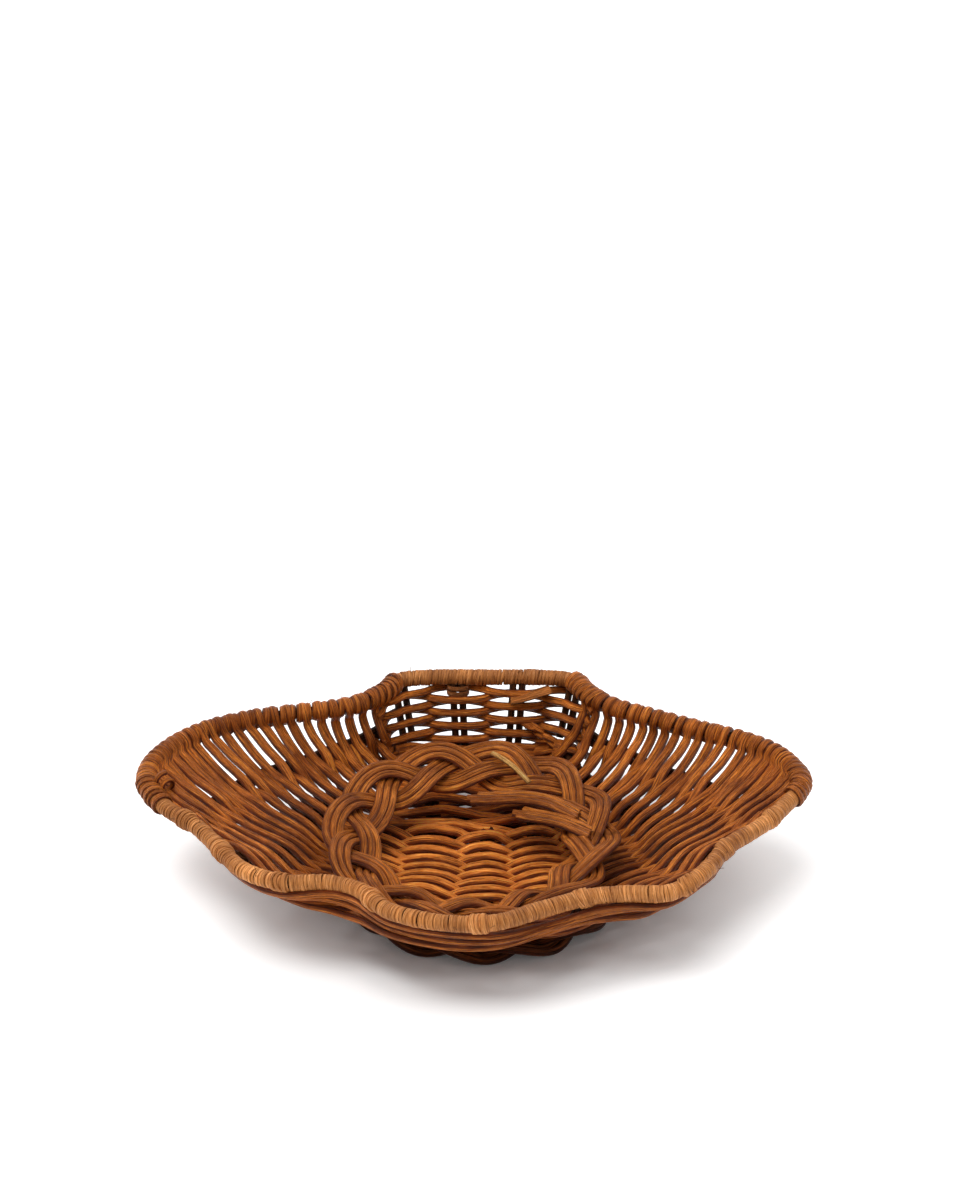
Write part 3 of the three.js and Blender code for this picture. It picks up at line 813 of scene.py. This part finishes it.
def plait_path(shape, strand, radius, beside, above):
    """One cane of one strand of a three-strand plait laid in a ring."""
    ring, sway, turns, flare = (shape[key] for key in ("radius", "sway", "turns", "flare"))
    path = []
    for i in range(shape["steps"]):
        angle = tau * i / shape["steps"]
        phase = turns * angle + tau * strand / 3
        outward = Vector((cos(angle), sin(angle), 0))
        along = outward * cos(flare) + Vector((0, 0, sin(flare)))
        normal = outward * -sin(flare) + Vector((0, 0, cos(flare)))
        forward = Vector((-sin(angle), cos(angle), 0)) * ring
        forward += along * sway * turns * cos(phase)
        side = normal.cross(forward).normalized()
        wave = sin(2 * phase)
        point = outward * ring + along * sway * sin(phase) + normal * (shape["lift"] * wave)
        point.z += point.y * shape["lean"] + shape["height"]
        point += shape["centre"] + side * beside + normal * above
        # painted shade: each strand is darker where it dips under the others
        path.append((point, normal, radius, radius * shape["flat"], 0.7 + 0.3 * wave))
    return path


def panel_angle(number):
    """Direction on the disc of a place across the back panel, counted in stakes."""
    x = HINGE_X + number * STAKE_PITCH - CENTRE.x
    return atan2((HALF_DEPTH - CENTRE.y) / HALF_DEPTH, x / HALF_WIDTH)


def part_at_height(angle, z):
    """How far out the weave reaches a height, in a direction on the disc."""
    low, high = 0.3, 1.0
    while high - low > 1e-3:
        middle = (low + high) / 2
        if dish(*on_disc(angle, middle)).z < z:
            low = middle
        else:
            high = middle
    return low


def panel_point(x, height, out):
    """A point on the back panel, moved off it towards the inside."""
    angle = panel_angle((x - HINGE_X) / STAKE_PITCH)
    u, v = on_disc(angle, part_at_height(angle, height))
    return dish(u, v) + dish_normal(u, v) * out


def half_span(v):
    """Half the width between the first row's two arms, at a place down the disc."""
    narrowest = 0.05
    for i in range(200):
        u, arm = fan(0.02, 1 - i / 200)
        if arm < v:
            return max(narrowest, u - 0.012)
    return narrowest


def short_cane(piece, points, half_width, half_thick, tone, seed, sides=8):
    """A loose cane through points given in millimetres."""
    between = 6
    up = Vector((0, -0.4, 1)).normalized()
    points = [Vector(point) for point in points]
    path = []
    count = len(points) - 1
    for i in range(count * between + 1):
        low = min(i // between, count - 1)
        rest = i / between - low
        p0, p3 = points[max(low - 1, 0)], points[min(low + 2, count)]
        p1, p2 = points[low], points[low + 1]
        bend = ((p1 - p0) - (p3 - p2)) * 0.5 * rest * (1 - rest)
        path.append((p1 + (p2 - p1) * rest + bend * 0.5, up, half_width, half_thick, 0.9))
    lay_cane(piece, even_steps(path, 1.2), sides=sides, tone=tone, seed=seed)


# ---- pieces
def make_cane(path, name, finish, slot, *nodes, **looks):
    """A piece that is one single cane."""
    piece = new_piece()
    lay_cane(piece, path, **looks)
    finish_piece(piece, name, finish, slot, *nodes)


def lay_rods(spans):
    """The plain rods that the bindings go round."""
    for name, (start, finish) in spans.items():
        path = []
        count = round((finish - start) / 3)
        for i in range(count + 1):
            distance = start + 0.3 + (finish - start - 0.6) * i / count
            point, _, _, inward = rim_frame(distance)
            # the last value, 0.3, gives the rim rods a little painted shade
            path.append((point, inward, ROD_R, ROD_R, 0.3))
        make_cane(
            path, f"{name}_core", "rib", "rim_rod", f"{name}_rod",
            tone=0.3, seed=start * MM, sides=14,
        )


def bind_rims(spans, fine, thick):
    """Fine cane round the front rim and the back bar, and thick cane round the sides."""
    fine_cane = (fine, ROD_R + 1.35, fine * 0.68, 0.35)
    thick_cane = (thick, ROD_R + 1.3, thick * 0.45, 1.4)
    for name, title, finish, cane, tilt, tone in (
        ("hinge_bar", "fine_cane", "binding", fine_cane, 0.2, 0.05),
        ("front_rim", "fine_cane", "binding", fine_cane, 0.2, 0.45),
        ("right_rim", "wraps", "weaving", thick_cane, 0.13, 0.5),
        ("left_rim", "wraps", "weaving", thick_cane, 0.13, 0.5),
    ):
        piece = new_piece()
        lay_windings(piece, *spans[name], *cane, len(name), tilt, tone)
        finish_piece(piece, f"{name}_{title}", finish, "binding_cane", f"{name}_binding")


class RATTAN_OT_rim(bpy.types.Operator):
    """Make the four rim rods and the fine cane bound round the front rim and the back bar"""

    bl_idname = "rattan.rim"
    bl_label = "Rim rods and bindings"

    def execute(self, context):
        sizes = context.scene.rattan_sizes
        right, left, corner = rim_corners()
        spans = {
            "right_rim": (0.0, right), "hinge_bar": (right, left), "left_rim": (left, corner),
            "front_rim": (corner, RIM.lengths[-1]),
        }
        lay_rods(spans)
        bind_rims(spans, sizes.binding_pitch / MM, sizes.wrap_pitch / MM)
        return {"FINISHED"}


def weave_rows():
    """The fan's rows, each with its ends wrapped round the side rims."""
    for row in range(FAN_ROWS):
        dice = random.Random(row + 31)
        size = 1 + dice.uniform(-0.07, 0.07)
        path = row_path(row, 0, size)
        ends = trim_to_rim(path, 8.0)
        path = wavering(path, 2.3, row, 0.5)
        for end, at_start, lean in ((ends[0], True, 3.4), (ends[1], False, -3.4)):
            path = join_to_wrap(path, end, at_start, 2.25 * size, 1.45, lean)
        canes = [(path, row * 0.37)]
        if row < PAIRED_ROWS and row % 2 == 0:
            path = wavering(row_path(row, 1, size), 2.3, row + 200, 0.5)
            canes.append((path, row * 0.37 + 0.2))
        piece = new_piece()
        for path, seed in canes:
            tone = 0.5 + dice.uniform(-0.3, 0.3)
            # painted floor light: the fan's rows are lighter towards the middle of the floor
            lay_cane(piece, path, tone=tone, seed=seed, wear=0.74)
        number = f"{row + 1:02d}"
        finish_piece(piece, f"row_{number}_cane", "weaving", "weaving_cane", f"fan_row_{number}")


def lay_ribs(radius):
    """The pairs of dark canes that the rows pass over and under."""
    for k in EVERY_RIB:
        first = 1 if k in ribs_at(0) else round(BACK_SHARE * RIB_STEPS)
        shares = [i / RIB_STEPS for i in range(first, RIB_STEPS + 1)]
        places = [fan(s, rib_share(k, s)) for s in shares]
        u, v = places[-1]
        reach = hypot(u, v)
        part = reach + 0.01
        while part < 0.965:
            places.append((u * part / reach, v * part / reach))
            part += 0.01
        piece = new_piece()
        behind = -SWING / 2 if abs(k) == FAN_RIBS else 0.0
        for side in (-1, 1):
            path = rib_path(places, side * radius * 0.98, radius, behind)
            path = wavering(path, 3.0, k * 2 + side + 50, 0.25)
            lay_cane(piece, path, sides=10, tone=0.4 + 0.1 * side, seed=2 + k * 0.21 + side * 0.05)
        name = f"rib_{k + FAN_RIBS + 1}"
        finish_piece(piece, f"{name}_canes", "rib", "rib_cane", f"fan_{name}")


class RATTAN_OT_fan(bpy.types.Operator):
    """Weave the rows of the fan over and under its ribs and wrap their ends round the side rims"""

    bl_idname = "rattan.fan"
    bl_label = "Fan rows and ribs"

    def execute(self, context):
        weave_rows()
        lay_ribs(half("rib_cane"))
        return {"FINISHED"}


def make_stakes(radius):
    """The pairs of dark canes that stand under the back bar."""
    for stake in range(STAKES):
        number = stake - (STAKES - 1) / 2
        angle = panel_angle(number)
        places = []
        part = 0.735 + 0.05 * (abs(number) - 0.5)
        while part < 0.975:
            places.append(on_disc(angle, part))
            part += 0.01
        piece = new_piece()
        for side in (-1, 1):
            path = rib_path(places, side * radius * 1.25, radius, 0.0)
            path = wavering(path, 3.0, stake + side + 90, 0.3)
            seed = 4 + stake * 0.3 + side * 0.06
            lay_cane(piece, path, sides=10, tone=0.35 + 0.1 * side, seed=seed)
        name = f"stake_{stake + 1}"
        finish_piece(piece, f"{name}_canes", "rib", "rib_cane", f"back_{name}")


def weave_panel():
    """The rows between the back bar and the foot of the panel."""
    steps = 140
    for row in range(BACK_ROWS):
        path = []
        for i in range(steps + 1):
            number = -0.72 + 4.44 * i / steps
            lift = over_under(number, row)
            outside = max(0.0, abs(number - 1.5) - 1.9)
            angle = panel_angle(number - 1.5)
            height = BACK_TOP - row * BACK_PITCH - 0.3 * lift - 6 * outside
            u, v = on_disc(angle, part_at_height(angle, height))
            point, up, half_width, *rest = woven_point(u, v, lift)
            path.append((point, up, half_width * 0.95, *rest))
        path = wavering(path, 1.6, row + 70, 0.5)
        tone = 0.45 + random.Random(row + 5).uniform(-0.25, 0.25)
        nodes = [f"back_row_{BACK_NODES[row]}"] if row in BACK_NODES else []
        make_cane(
            path, f"back_cane_{row + 1}", "weaving", "weaving_cane", *nodes,
            tone=tone, seed=6 + row * 0.41,
        )


def weave_low_rows():
    """The rows that fill the bowl between the panel and the fan's first row."""
    steps = 120
    first = part_at_height(pi / 2, BACK_TOP - BACK_ROWS * BACK_PITCH)
    for row in range(LOW_BACK_ROWS):
        v = first + (FAN_TOP - 0.03 - first) * row / (LOW_BACK_ROWS - 1)
        reach = half_span(v)
        path = []
        for i in range(steps + 1):
            u = reach * (2 * i / steps - 1) + 0.01
            angle = atan2(v, u)
            across = cos(angle) * (1.06 / max(sin(angle), 0.2)) * HALF_WIDTH - 3
            lift = over_under(across / STAKE_PITCH + 1.5, row + BACK_ROWS)
            path.append(woven_point(u, v, lift))
        make_cane(
            wavering(path, 2.0, row + 170, 0.5), f"lower_back_cane_{row + 1}", "weaving",
            "weaving_cane", tone=0.4, seed=8 + row * 0.41,
        )


class RATTAN_OT_back(bpy.types.Operator):
    """Make the four pairs of stakes under the back bar and the rows woven across them"""

    bl_idname = "rattan.back"
    bl_label = "Back panel"

    def execute(self, context):
        make_stakes(half("rib_cane"))
        weave_panel()
        weave_low_rows()
        return {"FINISHED"}


def lay_walings():
    """Canes that twist lightly and have their ends tucked in at the corners."""
    steps, tuck, twist = 160, 16, 4.6
    for name, high, low, out, start, finish in (
        ("under_rim", 0.97, 0.97, 4.6, 196, 345), ("upper", 0.95, 0.95, 5.3, 191, 350),
        ("lower", 0.93, 0.89, 6.6, 193, 347),
    ):
        path = []
        for i in range(steps + 1):
            angle = radians(start + (finish - start) * i / steps)
            lobe = cos((angle - radians(270)) / LOBE * pi)
            part = high + (low - high) * (0.5 + 0.5 * lobe)
            part += 0.011 * sin(twist * angle + start)
            u, v = on_disc(angle, part)
            up = dish_normal(u, v)
            under = out + 0.9 * cos(twist * angle + start)
            tucked = max(0.0, 1 - min(i, steps - i) / tuck)
            under += (0.5 - under) * tucked
            path.append((
                dish(u, v) - up * under, up, half("cane_width"), half("cane_thickness"), 0.75,
            ))
        nodes = [] if name == "under_rim" else [f"{name}_waling_cane"]
        make_cane(
            wavering(path, 3.0, start, 1.2), f"{name}_outer_cane", "weaving", "weaving_cane",
            *nodes, tone=0.55, seed=9 + high,
        )


def weave_front_rows():
    """Short rows across the ribs, between the fan's last row and the front rim."""
    steps = 240
    turns = []
    for k in EVERY_RIB:
        u, v = fan(1.0, rib_share(k, 1.0))
        turns.append(atan2(v, u) % tau)
    turns = [turns[0] - 0.16] + turns + [turns[-1] + 0.16]
    for row, (share, reach) in enumerate(((0.835, 3), (0.88, 4), (0.925, 4))):
        path = []
        for i in range(steps + 1):
            place = (i / steps * 2 - 1) * reach + FAN_RIBS + 1
            low = min(int(place), len(turns) - 2)
            rest = place - low
            angle = turns[low] + (turns[low + 1] - turns[low]) * rest
            side = 1 if (low + row + FAN_ROWS) % 2 == 0 else -1
            lift = side * SWING * 0.9 * cos(pi * rest)
            part = share + (1 - abs(sin(angle)) ** 2) * 0.05
            path.append(woven_point(*on_disc(angle, part), lift))
        make_cane(
            wavering(path, 2.4, row + 300, 0.6), f"front_fill_cane_{row + 1}", "weaving",
            "weaving_cane", tone=0.5, seed=21 + row,
        )


class RATTAN_OT_waling(bpy.types.Operator):
    """Lay the long canes outside under the front rim, and the rows between it and the fan"""

    bl_idname = "rattan.waling"
    bl_label = "Waling canes and front rows"

    def execute(self, context):
        lay_walings()
        weave_front_rows()
        return {"FINISHED"}


def make_strap():
    """The flat strap round the left inner stakes and the torn strip beside it."""
    steps = 32
    piece = new_piece()
    for turn, height in enumerate((60.2, 57.4)):
        middle = panel_point(HINGE_X - STAKE_PITCH / 2, height, 0.0)
        path = []
        for i in range(steps):
            angle = tau * i / steps
            out = Vector((cos(angle), sin(angle) * 0.62, 0))
            path.append((middle + out * (5.6 + 0.2 * turn), out.normalized(), 1.6, 0.45, 0.9))
        lay_cane(piece, path, sides=8, tone=0.6, closed=True, seed=30 + turn)
    strip = ((43, 59.4, 4.6), (36, 57.6, 6.4), (28, 55.4, 6.8), (20, 54, 6.2))
    short_cane(piece, [panel_point(*point) for point in strip], 3.3, 0.4, 0.75, 31.5)
    finish_piece(piece, "strap_and_torn_strip", "fresh_stain", "binding_cane")


def make_broken_canes():
    """Short broken canes at the right foot of the back panel."""
    piece = new_piece()
    dice = random.Random(77)
    for i in range(7):
        x = 33 + i * 3.2 + dice.uniform(-1.5, 1.5)
        height = 41 - i * 1.3 + dice.uniform(-2, 2)
        reach = dice.uniform(9, 15)
        tilt = dice.uniform(-5, 3.5)
        points = [
            panel_point(x - reach / 2, height + tilt, 3.6),
            panel_point(x, height, 5.6 + dice.uniform(0, 1.2)),
            panel_point(x + reach / 2, height - tilt, 3.8),
        ]
        short_cane(piece, points, 2.1, 0.75, dice.uniform(0.1, 0.8), 33 + i)
    finish_piece(piece, "broken_back_canes", "weaving", "weaving_cane")


def make_ring_ends():
    """Two strands of the ring end inside it, and one pale cane lies across its back."""
    piece = new_piece()
    ends = (
        ((-5, 16.5, 44.0), (8, 14.5, 45.0), (24, 14.5, 45.8), (40, 10, 45.2), (54, 0, 43.0)),
        ((19, 5.5, 41.5), (32, 0.5, 42.5), (46, -5, 42.5), (60, -15, 41.0)),
    )
    for number, points in enumerate(ends):
        for cane in range(3):
            aside = Vector((0.9, 3.4, 0)) * (cane - 1)
            moved = [Vector(point) + aside for point in points]
            moved[0] += Vector((abs(cane - 1) * 4.0 + cane, 0, 0))
            seed = 40 + number + cane * 0.2
            short_cane(piece, moved, 2.0, 1.9, 0.3 + 0.2 * cane, seed, sides=12)
    finish_piece(piece, "ring_strand_ends", "plait", "plait_cane")
    piece = new_piece()
    points = ((9, 46, 54.4), (15.5, 37.5, 55.2), (22, 29, 54.2), (28.5, 20, 51.4))
    short_cane(piece, points, 1.6, 1.0, 0.78, 45)
    finish_piece(piece, "pale_ring_cane", "fresh", "plait_cane")


def make_knots():
    """Slanted turns over the rib ends on the front rim."""
    piece = new_piece()
    for k in EVERY_RIB:
        u, v = fan(1.0, rib_share(k, 1.0))
        reach = hypot(u, v)
        place = RIM.nearest_length(dish(u / reach, v / reach))
        lay_windings(
            piece, place - 3.6, place + 3.6, 2.4, ROD_R + 2.0, 1.5, 0.6, 60 + k, tilt=0.55,
        )
    finish_piece(piece, "rib_end_knots", "binding", "binding_cane")


def make_corners():
    """Thick turns where the rim's lengths meet, and the curl of cane at the left corner."""
    piece = new_piece()
    right, left, corner = rim_corners()
    for middle, before, after, seed in (
        (RIM.lengths[-1], 13, 13, 70), (corner, 13, 11, 71), (right, 17, 6, 72), (left, 6, 17, 73),
    ):
        lay_windings(
            piece, middle - before, middle + after, 3.9, ROD_R + 2.5, 2.0, 0.9, seed, tilt=0.3,
        )
    finish_piece(piece, "corner_wraps", "weaving", "binding_cane")
    steps = 39
    point, along, wall, inward = rim_frame(corner - 3)
    path = []
    for i in range(steps + 1):
        angle = 2.6 * pi * i / steps
        radius = 5.4 - 2.4 * i / steps
        middle = point + inward * 5.0 - wall * 7.0 + along * (6.0 * i / steps - 3.0)
        out = inward * cos(angle) + wall * sin(angle)
        path.append((middle + out * radius, out, 1.7, 1.2, 0.8))
    make_cane(path, "left_corner_curl", "weaving", "binding_cane", tone=0.3, seed=50, sides=10)


def make_fibres():
    """Fine fibres that have sprung loose round the rim."""
    piece = new_piece()
    dice = random.Random(91)
    for i in range(46):
        point, along, wall, inward = rim_frame(dice.uniform(0, RIM.lengths[-1]))
        phi = dice.uniform(-0.4, 3.0)
        out = (inward * cos(phi) + wall * sin(phi)).normalized()
        root = point + out * (ROD_R + 1.6)
        lean = along * dice.uniform(-1, 1)
        reach = dice.uniform(1.2, 3.2)
        middle = root + (out * 0.6 + lean) * reach * 0.5
        tip = root + (out + lean * 1.4) * reach * 0.8
        short_cane(
            piece, [root, middle, tip], 0.16, 0.13, dice.uniform(0.2, 0.9), 52 + i, sides=4,
        )
    finish_piece(piece, "loose_fibres", "fresh_stain", "binding_cane")


class RATTAN_OT_details(bpy.types.Operator):
    """Add the strap, torn and broken canes, strand ends, corner wraps, knots and loose fibres"""

    bl_idname = "rattan.details"
    bl_label = "Ends, knots and wear"

    def execute(self, context):
        make_strap()
        make_broken_canes()
        make_ring_ends()
        make_knots()
        make_corners()
        make_fibres()
        return {"FINISHED"}


def make_plait(name, finish, radius):
    """Three strands, each of two or three canes side by side."""
    shape = PLAITS[name]
    for strand in range(3):
        piece = new_piece()
        for number, (beside, above) in enumerate(shape["canes"]):
            lay_cane(
                piece, plait_path(shape, strand, radius, beside * radius, above),
                sides=shape["sides"], tone=shape["tone"] + shape["tone_step"] * number,
                closed=True, seed=shape["seed"] + strand + number * shape["seed_step"],
            )
        finish_piece(
            piece, f"{name}_plait_{strand + 1}", finish, f"{finish}_cane",
            f"{name}_strand_{strand + 1}",
        )


class RATTAN_OT_plaits(bpy.types.Operator):
    """Plait the ring inside the dish and the foot under it, each of three strands"""

    bl_idname = "rattan.plaits"
    bl_label = "Ring and foot"

    def execute(self, context):
        make_plait("ring", "plait", half("plait_cane"))
        make_plait("foot", "foot", half("foot_cane"))
        return {"FINISHED"}


def seen_rays(tree):
    """1 for the rays that show the background: straight, mirrored or through glass."""
    rays = node(tree, "ShaderNodeLightPath")
    shown = rays.outputs["Is Camera Ray"]
    for other in ("Is Glossy Ray", "Is Transmission Ray"):
        either = node(tree, "ShaderNodeMath", shown, rays.outputs[other], operation="MAXIMUM")
        shown = either.outputs["Value"]
    return shown


def make_table(scene):
    """A pale table that keeps the dish's shadow, with painted light that grows away from the foot
    and fades the shadow to white there.
    """
    piece = bmesh.new()
    bmesh.ops.create_grid(piece, x_segments=2, y_segments=2, size=6.0)
    mesh = mesh_of(piece, "table_top")
    floor = add_object("table_top", mesh)
    material = bpy.data.materials.new("white_table")
    material.use_nodes = True
    tree = material.node_tree
    matt = wire(tree, tree.nodes["Principled BSDF"], {
        "Base Color": (*scene.rattan_colours.table, 1.0), "Roughness": 0.9,
        "Specular IOR Level": 0.1,
    })
    spot = node(tree, "ShaderNodeTexCoord").outputs["Object"]
    spot = node(tree, "ShaderNodeMapping", spot, (-0.003, 0.006, 0.0)).outputs["Vector"]
    away = node(tree, "ShaderNodeVectorMath", spot, operation="LENGTH").outputs["Value"]
    # painted light: the table glows more the further it is from the foot
    painted_light_level = node(
        tree, "ShaderNodeMapRange", away, 0.074, 0.185, 0.02, 0.5,
        interpolation_type="SMOOTHSTEP",
    ).outputs["Result"]
    share = node(tree, "ShaderNodeMath", seen_rays(tree), painted_light_level, operation="MULTIPLY")
    white = node(tree, "ShaderNodeEmission", Strength=share.outputs["Value"])
    both = node(tree, "ShaderNodeAddShader", matt.outputs["BSDF"], white.outputs["Emission"])
    wire(tree, tree.nodes["Material Output"], {"Surface": both.outputs["Shader"]})
    mesh.materials.append(material)


def make_light(scene):
    """Two soft lamps in a room that looks white and lights the dish at less than half that."""
    world = bpy.data.worlds.new("studio")
    world.use_nodes = True
    tree = world.node_tree
    level = node(tree, "ShaderNodeMapRange", seen_rays(tree), To_Min=0.45, To_Max=1.0)
    wire(tree, tree.nodes["Background"], {
        "Color": (*PLAIN, 1.0), "Strength": level.outputs["Result"],
    })
    scene.world = world
    for name, strength, width, heading in (
        ("soft_box", 1.4, 44, (0.2, 0.06, -1.0)), ("key", 0.4, 20, (0.5, 0.04, -1.0)),
    ):
        sun = bpy.data.lights.new(name, "SUN")
        sun.energy = strength
        sun.angle = radians(width)
        lamp = add_object(name, sun)
        lamp.rotation_mode = "QUATERNION"
        lamp.rotation_quaternion = Vector(heading).to_track_quat("-Z", "Y")


def place_camera(scene):
    """The photograph's view: from the front, about 32 degrees above the table."""
    lens = bpy.data.cameras.new("view")
    lens.lens = 115.4
    lens.sensor_width = 36.0
    camera = add_object("view", lens)
    camera.location = (0.0016, -1.7302, 1.0757)
    camera.rotation_euler = (radians(62.385), 0.0, 0.0)
    scene.camera = camera


class RATTAN_OT_stage(bpy.types.Operator):
    """Set up the table, the soft light and the camera"""

    bl_idname = "rattan.stage"
    bl_label = "Table, light and camera"

    def execute(self, context):
        make_table(context.scene)
        make_light(context.scene)
        place_camera(context.scene)
        context.scene.view_settings.view_transform = "Standard"
        return {"FINISHED"}


STEPS = (
    RATTAN_OT_stage, RATTAN_OT_rim, RATTAN_OT_fan, RATTAN_OT_back, RATTAN_OT_waling,
    RATTAN_OT_plaits, RATTAN_OT_details,
)


class RATTAN_PT_panel(bpy.types.Panel):
    """Lists the dish's pieces, sizes and colours"""

    bl_label = "Rattan dish"
    bl_space_type = "VIEW_3D"
    bl_region_type = "UI"
    bl_category = "Rattan dish"

    def draw(self, context):
        for step in STEPS:
            self.layout.operator(step.bl_idname)
        for group in (context.scene.rattan_sizes, context.scene.rattan_colours):
            for name in group.__annotations__:
                self.layout.prop(group, name)


CLASSES = (RattanSizes, RattanColours, *STEPS, RATTAN_PT_panel)


def register():
    for item in CLASSES:
        bpy.utils.register_class(item)
    bpy.types.Scene.rattan_sizes = bpy.props.PointerProperty(type=RattanSizes)
    bpy.types.Scene.rattan_colours = bpy.props.PointerProperty(type=RattanColours)


def unregister():
    del bpy.types.Scene.rattan_colours
    del bpy.types.Scene.rattan_sizes
    for item in reversed(CLASSES):
        bpy.utils.unregister_class(item)


def main():
    register()
    bpy.ops.rattan.stage()
    bpy.ops.rattan.rim()
    bpy.ops.rattan.fan()
    bpy.ops.rattan.back()
    bpy.ops.rattan.waling()
    bpy.ops.rattan.plaits()
    bpy.ops.rattan.details()


if __name__ == "__main__":
    main()
